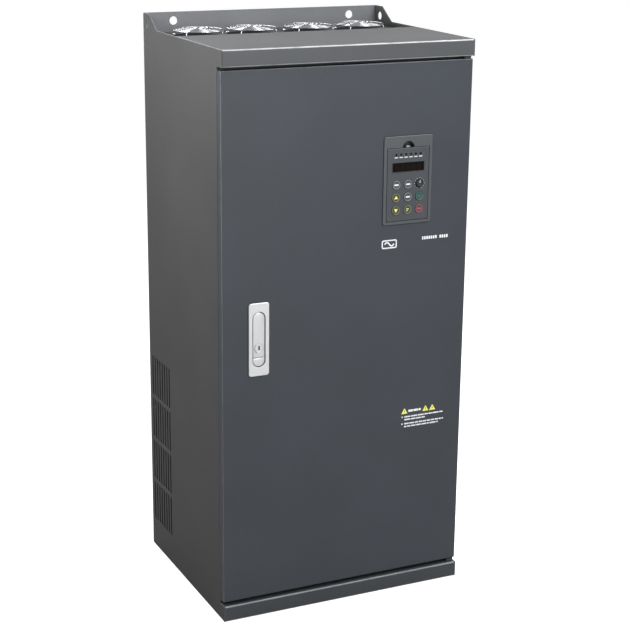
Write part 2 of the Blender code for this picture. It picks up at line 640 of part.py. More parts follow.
capb = box("capacitor_bank", CAPSLEEVE, -168, 168, PLATE_Y - GAP - 3, PLATE_Y - GAP, 520.0, 706.0)
boolean(capb, tool_cyls("capacitor_cans", *[
    (38.0, (x, 169.0, z), "Y", 118.0, 12) for z in (569.0, 657.0)
    for x in (-123.0, -41.0, 41.0, 123.0)]), "UNION")
shade(capb)
for nm, z in (("dc_busbar_minus", 569.0), ("dc_busbar_plus", 657.0)):
    box(nm, COPPER, -160, 160, 106.7, 109.7, z - 10, z + 10)

choke = box("dc_choke", CORE, 40, 200, 150.0, PLATE_Y - GAP, 160.0, 270.0, bevel=1.0, seg=1)
join_boxes(choke, (56, 104, 132, 222, 174, 256), (136, 184, 132, 222, 174, 256))

drv = box("driver_board", PCB, -150, 150, 178.0, 179.6, 420.0, 506.0)
join_boxes(drv, (-140, -110, 160, 179, 430, 496), (-60, -20, 166, 179, 436, 470),
           (10, 50, 166, 179, 436, 470), (80, 130, 158, 179, 430, 480),
           (-140, -136, 179, PLATE_Y - GAP, 424, 428), (136, 140, 179, PLATE_Y - GAP, 424, 428),
           (-140, -136, 179, PLATE_Y - GAP, 499, 503), (136, 140, 179, PLATE_Y - GAP, 499, 503))

ctl = outline("control_tray", ZINC, [sheet_path([
    (-170, PLATE_Y - GAP), (-150, PLATE_Y - GAP), (-150, 96.0), (150, 96.0),
    (150, PLATE_Y - GAP), (170, PLATE_Y - GAP)][::-1], t=1.5, r=2.6, seg=2)],
    "XY", 735.0, 1000.0)
brd = box("control_board", PCB, -130, 130, 86.0, 87.6, 750.0, 985.0)
join_boxes(brd, (-120, 120, 72, 87, 756, 768), (-100, -60, 80, 87, 860, 900),
           (-20, 24, 82, 87, 850, 894), (60, 110, 76, 87, 920, 960),
           (-124, -120, 87, 94.2, 800, 804), (120, 124, 87, 94.2, 800, 804),
           (-124, -120, 87, 94.2, 975, 979), (120, 124, 87, 94.2, 975, 979))

term = outline("power_terminals", IVORY, [
    [(-200, PLATE_Y - GAP), (-200, 186)] +
    [p for k in range(8) for p in ((-200 + 3 + 34 * k + (0 if k else 0), 186),
                                   (-200 + 3 + 34 * k, 206),
                                   (-200 + 34 * (k + 1), 206),
                                   (-200 + 34 * (k + 1), 186))] +
    [(-200 + 34 * 8 + 3, 186), (-200 + 34 * 8 + 3, PLATE_Y - GAP)]],
    "XY", 80.0, 130.0)

gb = box("ground_bar", COPPER, -210, 210, 214.0, 218.0, 36.0, 56.0)
join_boxes(gb, (-200, -190, 217, PLATE_Y - GAP, 40, 52), (190, 200, 217, PLATE_Y - GAP, 40, 52))
boolean(gb, tool_cyls("ground_bar_holes", *[
    (4.5, (x, 216.0, 46.0), "Y", 12.0, 8) for x in (-150, -90, -30, 30, 90, 150)]))
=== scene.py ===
import bpy, bmesh, math, random
from math import pi, sin, cos, radians
from mathutils import Matrix, Vector


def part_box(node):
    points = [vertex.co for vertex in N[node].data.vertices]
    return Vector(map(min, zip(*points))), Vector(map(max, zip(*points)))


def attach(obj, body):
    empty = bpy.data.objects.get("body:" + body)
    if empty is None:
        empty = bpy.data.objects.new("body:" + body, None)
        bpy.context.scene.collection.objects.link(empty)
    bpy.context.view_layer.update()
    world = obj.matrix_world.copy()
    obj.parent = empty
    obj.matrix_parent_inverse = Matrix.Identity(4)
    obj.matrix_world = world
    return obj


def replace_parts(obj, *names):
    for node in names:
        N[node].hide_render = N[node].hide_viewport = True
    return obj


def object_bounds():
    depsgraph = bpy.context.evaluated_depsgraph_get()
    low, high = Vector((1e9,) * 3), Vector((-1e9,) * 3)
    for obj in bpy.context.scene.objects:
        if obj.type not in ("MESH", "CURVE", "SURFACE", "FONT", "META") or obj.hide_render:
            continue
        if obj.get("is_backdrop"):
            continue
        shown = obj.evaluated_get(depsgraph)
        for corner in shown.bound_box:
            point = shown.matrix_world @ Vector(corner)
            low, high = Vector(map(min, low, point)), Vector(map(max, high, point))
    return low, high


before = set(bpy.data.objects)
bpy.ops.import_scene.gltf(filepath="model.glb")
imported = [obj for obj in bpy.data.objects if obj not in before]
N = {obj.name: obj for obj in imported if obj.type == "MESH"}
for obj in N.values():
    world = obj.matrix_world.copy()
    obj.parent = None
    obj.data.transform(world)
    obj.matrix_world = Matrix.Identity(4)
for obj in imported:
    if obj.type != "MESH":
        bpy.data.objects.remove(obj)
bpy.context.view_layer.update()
random.seed(7)

# ---------------------------------------------------------------- node helpers
def new_mat(name):
    m = bpy.data.materials.new(name)
    m.use_nodes = True
    nt = m.node_tree
    nt.nodes.clear()
    out = nt.nodes.new("ShaderNodeOutputMaterial")
    b = nt.nodes.new("ShaderNodeBsdfPrincipled")
    nt.links.new(b.outputs[0], out.inputs[0])
    return m, nt, b


def link(nt, a, b):
    nt.links.new(a, b)


def coords(nt, scale=(1, 1, 1)):
    tc = nt.nodes.new("ShaderNodeTexCoord")
    mp = nt.nodes.new("ShaderNodeMapping")
    mp.inputs["Scale"].default_value = scale
    link(nt, tc.outputs["Object"], mp.inputs["Vector"])
    return mp.outputs["Vector"]


def noise(nt, vec, scale, detail=3.0, rough=0.55):
    n = nt.nodes.new("ShaderNodeTexNoise")
    n.inputs["Scale"].default_value = scale
    n.inputs["Detail"].default_value = detail
    n.inputs["Roughness"].default_value = rough
    link(nt, vec, n.inputs["Vector"])
    return n.outputs["Fac"]


def ramp(nt, fac, stops):
    r = nt.nodes.new("ShaderNodeValToRGB")
    els = r.color_ramp.elements
    while len(els) < len(stops):
        els.new(0.5)
    for e, (p, c) in zip(els, stops):
        e.position = p
        e.color = c if len(c) == 4 else (*c, 1)
    link(nt, fac, r.inputs["Fac"])
    return r.outputs["Color"]


def maprange(nt, v, a, b, c, d):
    m = nt.nodes.new("ShaderNodeMapRange")
    for i, x in zip((1, 2, 3, 4), (a, b, c, d)):
        m.inputs[i].default_value = x
    link(nt, v, m.inputs[0])
    return m.outputs[0]


def mix(nt, a, b, fac, mode="MIX"):
    m = nt.nodes.new("ShaderNodeMix")
    m.data_type = "RGBA"
    m.blend_type = mode
    for s, v in ((m.inputs[0], fac), (m.inputs[6], a), (m.inputs[7], b)):
        if hasattr(v, "node"):
            link(nt, v, s)
        elif isinstance(v, (tuple, list)):
            s.default_value = (*v[:3], 1)
        else:
            s.default_value = v
    return m.outputs[2]


def bump(nt, h, dist, strength=1.0, prev=None):
    b = nt.nodes.new("ShaderNodeBump")
    b.inputs["Distance"].default_value = dist
    b.inputs["Strength"].default_value = strength
    link(nt, h, b.inputs["Height"])
    if prev is not None:
        link(nt, prev, b.inputs["Normal"])
    return b.outputs["Normal"]


# ---------------------------------------------------------------- light levels
FLOOR_BOUNCE, FLOOR_GLOW = 0.30, 0.64
WORLD_LOW, WORLD_MID, WORLD_TOP = 0.34, 0.46, 0.80
LAMPS = [
    ("top_soft", (-0.4, -0.5, 3.3), (0, 0, 1.0), 2.2, 5),
    ("left_high", (-0.85, 0.10, 1.22), (-0.25, 0.05, 0.95), 0.5, 9.8),
    ("front_high", (0.55, -1.45, 2.05), (0.16, -0.2, 0.98), 0.7, 20, (0.95, 0.975, 1.0)),
    ("front_low", (0.3, -3.0, 0.9), (0.0, -0.2, 0.30), 1.6, 24, (0.97, 0.985, 1.0)),
    ("edge_strip", (0.75, -0.80, 2.70), (0.1, -0.2, 1.07), 3.2, 26, (1, 1, 1), 0.45),
    ("right_fill", (2.6, -0.4, 2.3), (0.25, 0, 0.8), 1.6, 40),
    ("back_fill", (-0.6, 2.8, 2.4), (0, 0.2, 0.8), 1.6, 40),
]


# ---------------------------------------------------------------- materials
def edge_factor(nt, lo=0.22, hi=0.46):
    """Mask of the painted edge highlight: 1 on folds and rounded edges, 0 on the flat faces, from the normal in the
    piece's own axes.
    """
    tc = nt.nodes.new("ShaderNodeTexCoord")
    sep = nt.nodes.new("ShaderNodeSeparateXYZ")
    link(nt, tc.outputs["Normal"], sep.inputs[0])
    terms = []
    for a, b_ in (("X", "Y"), ("Y", "Z"), ("X", "Z")):
        m = nt.nodes.new("ShaderNodeMath"); m.operation = "MULTIPLY"
        link(nt, sep.outputs[a], m.inputs[0]); link(nt, sep.outputs[b_], m.inputs[1])
        ab = nt.nodes.new("ShaderNodeMath"); ab.operation = "ABSOLUTE"
        link(nt, m.outputs[0], ab.inputs[0]); terms.append(ab.outputs[0])
    mx = nt.nodes.new("ShaderNodeMath"); mx.operation = "MAXIMUM"
    link(nt, terms[0], mx.inputs[0]); link(nt, terms[1], mx.inputs[1])
    m2 = nt.nodes.new("ShaderNodeMath"); m2.operation = "MAXIMUM"
    link(nt, mx.outputs[0], m2.inputs[0]); link(nt, terms[2], m2.inputs[1])
    return maprange(nt, m2.outputs[0], lo, hi, 0.0, 1.0)


def powder(name, rgb, rough=0.5, grain=0.00007, edge=None, edge_highlight_amount=0.8):
    """Fine-texture powder coat: pebble bump, speckle, faint cloudiness, scuffs and a painted highlight lightening folds
    and rounded edges.
    """
    m, nt, b = new_mat(name)
    v = coords(nt)
    fine = noise(nt, v, 1100, 2.0, 0.6)
    mid = noise(nt, v, 260, 3.0)
    cloud = noise(nt, v, 5.5, 3.0, 0.5)
    c = ramp(nt, fine, [(0.30, tuple(x * 0.80 for x in rgb)), (0.52, rgb),
                        (0.72, tuple(min(1, x * 1.22 + 0.002) for x in rgb))])
    c = mix(nt, c, tuple(x * 1.22 for x in rgb), maprange(nt, cloud, 0.4, 0.75, 0.0, 0.65))
    scr = noise(nt, coords(nt, (14, 14, 2.2)), 9, 4.0, 0.7)
    c = mix(nt, c, tuple(min(1, x * 1.5 + 0.01) for x in rgb),
            maprange(nt, scr, 0.66, 0.80, 0.0, 0.16))
    # painted highlight: folds and rounded edges are lightened towards the edge colour, broken up by noise
    if edge:
        edge_highlight_break = noise(nt, v, 38, 3.0)
        k = nt.nodes.new("ShaderNodeMath"); k.operation = "MULTIPLY"
        link(nt, edge_factor(nt), k.inputs[0])
        link(nt, maprange(nt, edge_highlight_break, 0.25, 0.6, edge_highlight_amount * 0.55, edge_highlight_amount), k.inputs[1])
        c = mix(nt, c, edge, k.outputs[0])
    link(nt, c, b.inputs["Base Color"])
    r = maprange(nt, mid, 0.3, 0.7, rough - 0.05, rough + 0.06)
    link(nt, r, b.inputs["Roughness"])
    n1 = bump(nt, fine, grain, 0.55)
    n2 = bump(nt, mid, grain * 2.2, 0.35, n1)
    link(nt, n2, b.inputs["Normal"])
    b.inputs["Specular IOR Level"].default_value = 0.5
    return m


def metal(name, rgb, rough, aniso_axis=None, scale=900, dist=0.00003, metallic=1.0):
    m, nt, b = new_mat(name)
    sc = {None: (1, 1, 1), "X": (0.02, 1, 1), "Y": (1, 0.02, 1), "Z": (1, 1, 0.02)}[aniso_axis]
    g = noise(nt, coords(nt, sc), scale, 3.0, 0.6)
    cl = noise(nt, coords(nt), 14, 3.0)
    c = ramp(nt, g, [(0.3, tuple(x * 0.90 for x in rgb)), (0.7, tuple(min(1, x * 1.06) for x in rgb))])
    c = mix(nt, c, tuple(x * 0.86 for x in rgb), maprange(nt, cl, 0.45, 0.8, 0.0, 0.5))
    link(nt, c, b.inputs["Base Color"])
    link(nt, maprange(nt, cl, 0.3, 0.75, rough - 0.05, rough + 0.09), b.inputs["Roughness"])
    b.inputs["Metallic"].default_value = metallic
    link(nt, bump(nt, g, dist, 0.6), b.inputs["Normal"])
    return m


def spangle(name, rgb, rough=0.42):
    """Galvanised sheet with faint zinc spangle."""
    m, nt, b = new_mat(name)
    vo = nt.nodes.new("ShaderNodeTexVoronoi")
    vo.inputs["Scale"].default_value = 70
    link(nt, coords(nt), vo.inputs["Vector"])
    sep = nt.nodes.new("ShaderNodeSeparateColor")
    link(nt, vo.outputs["Color"], sep.inputs[0])
    c = ramp(nt, sep.outputs[0], [(0.0, tuple(x * 0.84 for x in rgb)), (1.0, tuple(x * 1.08 for x in rgb))])
    link(nt, c, b.inputs["Base Color"])
    link(nt, maprange(nt, sep.outputs[1], 0, 1, rough - 0.07, rough + 0.08), b.inputs["Roughness"])
    b.inputs["Metallic"].default_value = 0.9
    link(nt, bump(nt, noise(nt, coords(nt), 400), 0.00003, 0.5), b.inputs["Normal"])
    return m


def plastic(name, rgb, rough=0.5, grain=700, dist=0.00005, coat=0.0, var=0.16, edge=None, spec=0.5):
    m, nt, b = new_mat(name)
    v = coords(nt)
    g = noise(nt, v, grain, 2.0)
    cl = noise(nt, v, 22, 3.0)
    c = mix(nt, tuple(x * (1 - var) for x in rgb), tuple(min(1, x * (1 + var)) for x in rgb), g)
    c = mix(nt, c, tuple(min(1, x * 1.25 + 0.003) for x in rgb), maprange(nt, cl, 0.5, 0.8, 0, 0.4))
    # painted highlight: folds and rounded edges are lightened towards the edge colour
    if edge:
        k = nt.nodes.new("ShaderNodeMath"); k.operation = "MULTIPLY"
        link(nt, edge_factor(nt), k.inputs[0]); k.inputs[1].default_value = 0.7
        c = mix(nt, c, edge, k.outputs[0])
    b.inputs["Specular IOR Level"].default_value = spec
    link(nt, c, b.inputs["Base Color"])
    link(nt, maprange(nt, cl, 0.3, 0.7, rough - 0.05, rough + 0.07), b.inputs["Roughness"])
    link(nt, bump(nt, g, dist, 0.5), b.inputs["Normal"])
    if coat:
        b.inputs["Coat Weight"].default_value = coat
        b.inputs["Coat Roughness"].default_value = 0.08
    return m


def board(name):
    """Solder mask with traces and pads."""
    m, nt, b = new_mat(name)
    v = coords(nt)
    br = nt.nodes.new("ShaderNodeTexBrick")
    br.inputs["Scale"].default_value = 90
    br.inputs["Mortar Size"].default_value = 0.012
    br.inputs["Color1"].default_value = (0.010, 0.115, 0.050, 1)
    br.inputs["Color2"].default_value = (0.014, 0.135, 0.062, 1)
    br.inputs["Mortar"].default_value = (0.035, 0.25, 0.12, 1)
    sep = nt.nodes.new("ShaderNodeSeparateXYZ"); cmb = nt.nodes.new("ShaderNodeCombineXYZ")
    link(nt, v, sep.inputs[0]); link(nt, sep.outputs["X"], cmb.inputs["X"]); link(nt, sep.outputs["Z"], cmb.inputs["Y"])
    link(nt, cmb.outputs[0], br.inputs["Vector"])
    vo = nt.nodes.new("ShaderNodeTexVoronoi"); vo.inputs["Scale"].default_value = 130
    link(nt, v, vo.inputs["Vector"])
    c = mix(nt, br.outputs["Color"], (0.62, 0.55, 0.38), maprange(nt, vo.outputs["Distance"], 0.10, 0.13, 1.0, 0.0))
    link(nt, c, b.inputs["Base Color"])
    link(nt, maprange(nt, noise(nt, v, 60), 0.3, 0.7, 0.28, 0.42), b.inputs["Roughness"])
    link(nt, bump(nt, br.outputs["Fac"], 0.00004, 0.5), b.inputs["Normal"])
    return m


M = {}
# the edge colours below are painted highlights on folds and rounded edges
M["side"] = powder("powder_coat_side", (0.047, 0.047, 0.0475), 0.50, edge=(0.16, 0.162, 0.165))
M["door"] = powder("powder_coat_door", (0.037, 0.0425, 0.0515), 0.44, edge=(0.20, 0.21, 0.225))
M["sill"] = powder("powder_coat_sill", (0.042, 0.046, 0.052), 0.44, edge=(0.22, 0.23, 0.24))
M["top"] = powder("powder_coat_top", (0.068, 0.071, 0.075), 0.40, edge=(0.50, 0.51, 0.52), edge_highlight_amount=0.9)
M["deck"] = powder("powder_coat_deck", (0.030, 0.031, 0.033), 0.45)
# the flange coat is painted much lighter than the side coat: painted light standing in for the light falling on the
# flange
M["back"] = powder("powder_coat_flange_painted_light", (0.154, 0.158, 0.166), 0.32, edge=(0.30, 0.31, 0.32))
M["zinc"] = spangle("galvanised", (0.50, 0.51, 0.52))
M["silver"] = metal("lock_satin", (0.74, 0.74, 0.735), 0.40, None, 1300, 0.00002, 0.40)
M["silver2"] = metal("lock_handle_satin", (0.72, 0.725, 0.73), 0.34, "Z", 500, 0.00002, 0.45)
M["steel"] = metal("brushed_cylinder", (0.62, 0.62, 0.63), 0.30, None, 900, 0.00002, 0.9)
M["chrome"] = metal("chrome_wire", (0.52, 0.52, 0.54), 0.16, None, 300, 0.00001, 1.0)
M["alu"] = metal("anodised_aluminium", (0.060, 0.061, 0.064), 0.42, "Z", 500, 0.00004, 0.6)
M["copper"] = metal("tinned_copper", (0.78, 0.50, 0.34), 0.28, "X", 500, 0.00003, 1.0)
M["black"] = plastic("black_plastic", (0.020, 0.021, 0.023), 0.45)
M["tray"] = plastic("tray_plastic", (0.067, 0.073, 0.079), 0.52, edge=(0.17, 0.18, 0.19))
M["pad"] = plastic("keypad_plastic", (0.050, 0.055, 0.061), 0.48, edge=(0.22, 0.23, 0.24))
M["module"] = plastic("module_epoxy", (0.030, 0.030, 0.034), 0.42)
M["rubber"] = plastic("gasket_rubber_and_painted_shade", (0.013, 0.013, 0.013), 0.85, 900, 0.0001)
M["sleeve"] = plastic("capacitor_sleeve", (0.020, 0.035, 0.085), 0.35, 300, 0.00002, 0.3)
M["core"] = plastic("choke_varnish", (0.18, 0.075, 0.030), 0.42, 260, 0.0002, 0.2)
M["ivory"] = plastic("terminal_ivory", (0.56, 0.54, 0.46), 0.45)
M["board"] = board("solder_mask")
M["lens"] = plastic("display_lens", (0.0058, 0.0044, 0.0038), 0.22, 500, 0.000005, 0.0, 0.16, None, 0.10)
M["kgrey"] = plastic("key_grey", (0.052, 0.056, 0.061), 0.5)
M["kolive"] = plastic("key_olive", (0.036, 0.038, 0.027), 0.5)
M["kgreen"] = plastic("key_green", (0.032, 0.060, 0.056), 0.5)
M["kred"] = plastic("key_red", (0.072, 0.042, 0.050), 0.5)
M["ringgrey"] = plastic("ring_grey", (0.24, 0.245, 0.25), 0.5)
M["ringolive"] = plastic("ring_olive", (0.215, 0.215, 0.130), 0.5)
M["ringgreen"] = plastic("ring_green", (0.040, 0.165, 0.130), 0.5)
M["ringlime"] = plastic("ring_lime", (0.24, 0.25, 0.125), 0.5)
M["ringred"] = plastic("ring_red", (0.30, 0.10, 0.125), 0.5)
M["white"] = plastic("print_white", (0.78, 0.79, 0.80), 0.5, 900, 0.00001, 0.0, 0.05)
M["yellow"] = plastic("print_yellow", (0.86, 0.82, 0.16), 0.5, 900, 0.00001, 0.0, 0.06)
M["green"] = plastic("print_green", (0.62, 0.66, 0.34), 0.5, 900, 0.00001, 0.0, 0.06)
M["redp"] = plastic("print_red", (0.42, 0.055, 0.085), 0.5, 900, 0.00001, 0.0, 0.06)
M["led"] = plastic("led_dark", (0.0035, 0.0035, 0.004), 0.5, 900, 0.00001, 0.0, 0.1, None, 0.15)
M["greyp"] = plastic("print_grey", (0.34, 0.35, 0.36), 0.5, 900, 0.00001, 0.0, 0.05)

NODE_MAT = {
    "side": ["side_panel_left", "side_panel_right", "door_rail_upper", "door_rail_lower"],
    "top": ["top_cover"], "back": ["back_panel"], "door": ["door_panel", "door_stiffener"], "sill": ["base_sill"], "deck": ["fan_deck", "hinge_upper_pin_plate", "hinge_lower_pin_plate"],
    "zinc": ["gland_plate", "mounting_plate", "control_tray", "lock_cam", "hinge_upper_block", "hinge_lower_block"],
    "alu": ["heatsink"], "module": ["igbt_module_1", "igbt_module_2", "igbt_module_3", "rectifier_module"],
    "sleeve": ["capacitor_bank"], "copper": ["dc_busbar_minus", "dc_busbar_plus", "ground_bar"],
    "core": ["dc_choke"], "board": ["driver_board", "control_board"], "ivory": ["power_terminals"],
    "rubber": ["door_gasket"], "silver": ["lock_plate"], "silver2": ["lock_handle", "lock_button", "lock_cylinder"],
    "steel": [], "tray": ["keypad_tray"], "pad": ["keypad_body"], "lens": ["keypad_display"],
    "black": ["speed_knob"] + ["fan_frame_%d" % i for i in range(1, 5)] + ["fan_rotor_%d" % i for i in range(1, 5)],
    "chrome": ["fan_guard_%d" % i for i in range(1, 5)],
    "kgrey": ["key_program", "key_enter", "key_shift"], "kolive": ["key_up", "key_down", "key_jog"],
    "kgreen": ["key_run"], "kred": ["key_stop"],
}
for k, names in NODE_MAT.items():
    for n in names:
        o = N[n]
        o.data.materials.clear()
        o.data.materials.append(M[k])


def soften(name, width, seg=2, angle=40):
    """Weld the faceted solid and round its sharp edges so that they catch the light."""
    o = N[name]
    w = o.modifiers.new("Weld", "WELD"); w.merge_threshold = 0.000005
    b = o.modifiers.new("Bevel", "BEVEL")
    b.width = width; b.segments = seg; b.limit_method = "ANGLE"; b.angle_limit = radians(angle)
    b.harden_normals = False
    o.data.shade_smooth()
    wn = o.modifiers.new("WN", "WEIGHTED_NORMAL"); wn.keep_sharp = True
    return o


# ---------------------------------------------------------------- geometry helpers
def mesh_obj(name, bm, mat, body, smooth=False):
    me = bpy.data.meshes.new(name)
    bm.to_mesh(me); bm.free()
    if smooth:
        me.shade_smooth(); me.set_sharp_from_angle(angle=radians(40))
    me.materials.append(mat)
    o = bpy.data.objects.new(name, me)
    bpy.context.scene.collection.objects.link(o)
    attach(o, body)
    return o


def lathe(bm, cx, cy, cz, axis, prof, seg=40):
    """Turned solid about an axis through (cx, cy, cz); prof is (distance along, radius)."""
    rings = []
    for (d, r) in prof:
        ring = []
        for k in range(seg):
            a = 2 * pi * k / seg
            if axis == "Y":
                p = Vector((cx + r * cos(a), cy + d, cz + r * sin(a)))
            else:
                p = Vector((cx + r * cos(a), cy + r * sin(a), cz + d))
            ring.append(bm.verts.new(p))
        rings.append(ring)
    for r0, r1 in zip(rings[:-1], rings[1:]):
        for k in range(seg):
            bm.faces.new((r0[k], r0[(k + 1) % seg], r1[(k + 1) % seg], r1[k]))
    bm.faces.new(rings[0][::-1]); bm.faces.new(rings[-1])
    return rings


def tube_curve(name, splines, radius, mat, body, res=4):
    cu = bpy.data.curves.new(name, "CURVE")
    cu.dimensions = "3D"; cu.bevel_depth = radius; cu.bevel_resolution = res; cu.use_fill_caps = True
    for pts, cyc in splines:
        sp = cu.splines.new("POLY")
        sp.points.add(len(pts) - 1)
        for p, q in zip(sp.points, pts):
            p.co = (*q, 1)
        sp.use_cyclic_u = cyc
    cu.materials.append(mat)
    for sp in cu.splines:
        sp.use_smooth = True
    o = bpy.data.objects.new(name, cu)
    bpy.context.scene.collection.objects.link(o)
    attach(o, body)
    return o


def plate_poly(bm, pts, y0, y1):
    """Flat outline in XZ, from y0 (front) to y1."""
    f = [bm.verts.new((x, y0, z)) for x, z in pts]
    b = [bm.verts.new((x, y1, z)) for x, z in pts]
    n = len(pts)
    bm.faces.new(f); bm.faces.new(b[::-1])
    for i in range(n):
        j = (i + 1) % n
        bm.faces.new((f[j], f[i], b[i], b[j]))


def rrect(cx, cz, w, h, r, n=5):
    pts = []
    for sx, sz, a in ((1, 1, 0), (-1, 1, 90), (-1, -1, 180), (1, -1, 270)):
        for k in range(n + 1):
            t = radians(a + 90 * k / n)
            pts.append((cx + sx * (w / 2 - r) + r * cos(t), cz + sz * (h / 2 - r) + r * sin(t)))
    return pts


def fix(bm):
    bmesh.ops.recalc_face_normals(bm, faces=bm.faces)


def mid(n):
    lo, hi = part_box(n)
    return (lo + hi) / 2


# ---------------------------------------------------------------- fan guards in chrome wire
for i in range(1, 5):
    lo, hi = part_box("fan_guard_%d" % i)
    c = (lo + hi) / 2
    zt = hi.z - 0.0011
    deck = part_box("fan_deck")[1].z
    wire = 0.00095
    R = (hi.x - lo.x) / 2 - wire - 0.0001
    spl = []
    for q in (1.0, 0.885, 0.77, 0.60, 0.40, 0.20):
        r = R * q
        z = zt - 0.0030 * ((r / R) ** 3)
        spl.append(([(c.x + r * cos(2 * pi * j / 56), c.y + r * sin(2 * pi * j / 56), z) for j in range(56)], True))
    # two cross stays with feet bent down to the deck
    for a in (radians(45), radians(135)):
        pts = []
        for t in range(-24, 25):
            s = t / 24
            rr = s * (R + 0.0015)
            z = zt - 0.0030 * (abs(s) ** 3) - 0.0018
            pts.append((c.x + rr * cos(a), c.y + rr * sin(a), z))
        foot = []
        for e in (-1, 1):
            rr = e * (R + 0.0022)
            foot.append([(c.x + rr * cos(a), c.y + rr * sin(a), pts[0][2] - 0.001), (c.x + rr * cos(a), c.y + rr * sin(a), deck + 0.0006)])
        spl.append((foot[0][::-1] + pts + foot[1], False))
    g = tube_curve("fan_guard_wire_%d" % i, spl, wire, M["chrome"], "cabinet")
    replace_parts(g, "fan_guard_%d" % i)
    # lugs and pan-head screws at the feet
    bm = bmesh.new()
    for q in range(4):
        a = radians(45 + 90 * q)
        rr = R + 0.0022
        lathe(bm, c.x + rr * cos(a), c.y + rr * sin(a), deck + 0.0001, "Z",
              [(0, 0.0042), (0.0006, 0.0042), (0.0007, 0.0031), (0.0018, 0.0029), (0.0024, 0.0022), (0.0026, 0.0010)], 20)
    fix(bm)
    mesh_obj("fan_guard_screws_%d" % i, bm, M["steel"], "cabinet", True)

# ---------------------------------------------------------------- keypad details
pad_lo, pad_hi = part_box("keypad_body")
yf = pad_lo.y
KEY = {"key_program": ("ringgrey", "bar"), "key_enter": ("ringgrey", "bar"), "key_up": ("ringolive", "up"),
       "key_shift": ("ringgrey", "bar"), "key_run": ("ringgreen", "ring"), "key_down": ("ringolive", "down"),
       "key_jog": ("ringlime", "jog"), "key_stop": ("ringred", "stop")}
for n, (ring, sym) in KEY.items():
    lo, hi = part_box(n)
    c = (lo + hi) / 2
    r = (hi.x - lo.x) / 2
    y0 = lo.y
    # key cap: dished face with a soft shoulder
    bm = bmesh.new()
    lathe(bm, c.x, 0, c.z, "Y", [(hi.y, r * 0.995), (y0 + 0.0012, r * 0.995), (y0 + 0.0005, r * 0.975),
                                (y0 + 0.0001, r * 0.93), (y0, r * 0.89), (y0 + 0.0002, r * 0.80),
                                (y0 + 0.00045, r * 0.50), (y0 + 0.0005, r * 0.2)], 40)
    fix(bm)
    cap = mesh_obj(n + "_cap", bm, N[n].data.materials[0], n, True)
    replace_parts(cap, n)
    # coloured ring printed on the shoulder
    bm = bmesh.new()
    ro, ri = r * 0.97, r * 0.80
    seg = 48
    prof = [(y0 + 0.0004, ro), (y0 - 0.00008, r * 0.925), (y0 - 0.00008, r * 0.86), (y0 + 0.00028, ri), (y0 + 0.0010, ri), (y0 + 0.0010, ro)]
    rings = [[bm.verts.new((c.x + rr * cos(2 * pi * k / seg), d, c.z + rr * sin(2 * pi * k / seg))) for k in range(seg)] for d, rr in prof]
    for a in range(len(rings)):
        r0, r1 = rings[a], rings[(a + 1) % len(rings)]
        for k in range(seg):
            bm.faces.new((r0[k], r0[(k + 1) % seg], r1[(k + 1) % seg], r1[k]))
    fix(bm)
    mesh_obj(n + "_ring", bm, M[ring], n, True)
    bm = bmesh.new()
    ys, yb = y0 + 0.0001, y0 + 0.0008
    mat = M["white"]
    if sym == "bar":
        plate_poly(bm, rrect(c.x, c.z, 0.0086, 0.0026, 0.0008), ys, yb)
    elif sym == "stop":
        plate_poly(bm, rrect(c.x, c.z, 0.0088, 0.0028, 0.0006), ys, yb); mat = M["redp"]
    elif sym in ("up", "down"):
        s = 1 if sym == "up" else -1
        plate_poly(bm, [(c.x - 0.0040, c.z - s * 0.0026), (c.x + 0.0040, c.z - s * 0.0026), (c.x, c.z + s * 0.0040)], ys, yb)
        mat = M["yellow"]
    elif sym == "jog":
        plate_poly(bm, rrect(c.x, c.z + 0.0012, 0.0052, 0.0018, 0.0006), ys, yb)
        plate_poly(bm, rrect(c.x - 0.0008, c.z - 0.0018, 0.0036, 0.0018, 0.0006), ys, yb); mat = M["green"]
    else:
        plate_poly(bm, rrect(c.x, c.z, 0.0060, 0.0022, 0.0008), ys, yb); mat = M["ringgreen"]
    fix(bm)
    mesh_obj(n + "_mark", bm, mat, n)

# status lamps with plain tick marks under them
bm = bmesh.new(); bt = bmesh.new()
cx = mid("keypad_body").x
for k in range(6):
    x = cx + (k - 2.5) * 0.0101
    lathe(bm, x, 0, pad_hi.z - 0.0115, "Y", [(yf + 0.0012, 0.0023), (yf - 0.0001, 0.0023), (yf - 0.0003, 0.0021), (yf - 0.0004, 0.0014), (yf - 0.0004, 0.0004)], 20)
    plate_poly(bt, rrect(x, pad_hi.z - 0.0168, 0.0068, 0.0016, 0.0004), yf - 0.00006, yf + 0.0006)
fix(bm); fix(bt)
mesh_obj("keypad_lamps", bm, M["led"], "keypad", True)
mesh_obj("keypad_lamp_ticks", bt, M["white"], "keypad")

# display: raised bezel round the lens and unlit segment digits
dlo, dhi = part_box("keypad_display")
dc = (dlo + dhi) / 2
bm = bmesh.new()
w, h = dhi.x - dlo.x, dhi.z - dlo.z
outer, inner = rrect(dc.x, dc.z, w + 0.0022, h + 0.0022, 0.0016), rrect(dc.x, dc.z, w - 0.0004, h - 0.0004, 0.0010)
ya, yb = dlo.y - 0.0003, dlo.y + 0.0010
vo = [[bm.verts.new((x, y, z)) for x, z in loop] for loop, y in ((outer, yb), (outer, ya + 0.0002), (rrect(dc.x, dc.z, w + 0.0016, h + 0.0016, 0.0014), ya), (inner, ya), (inner, yb))]
for a in range(5):
    r0, r1 = vo[a], vo[(a + 1) % 5]
    for k in range(len(r0)):
        j = (k + 1) % len(r0)
        bm.faces.new((r0[k], r0[j], r1[j], r1[k]))
fix(bm)
mesh_obj("display_bezel", bm, M["black"], "keypad", True)
M["seg"] = plastic("segment_unlit", (0.013, 0.0075, 0.0055), 0.4, 900, 0.00001, 0.0, 0.1, None, 0.10)
bm = bmesh.new()
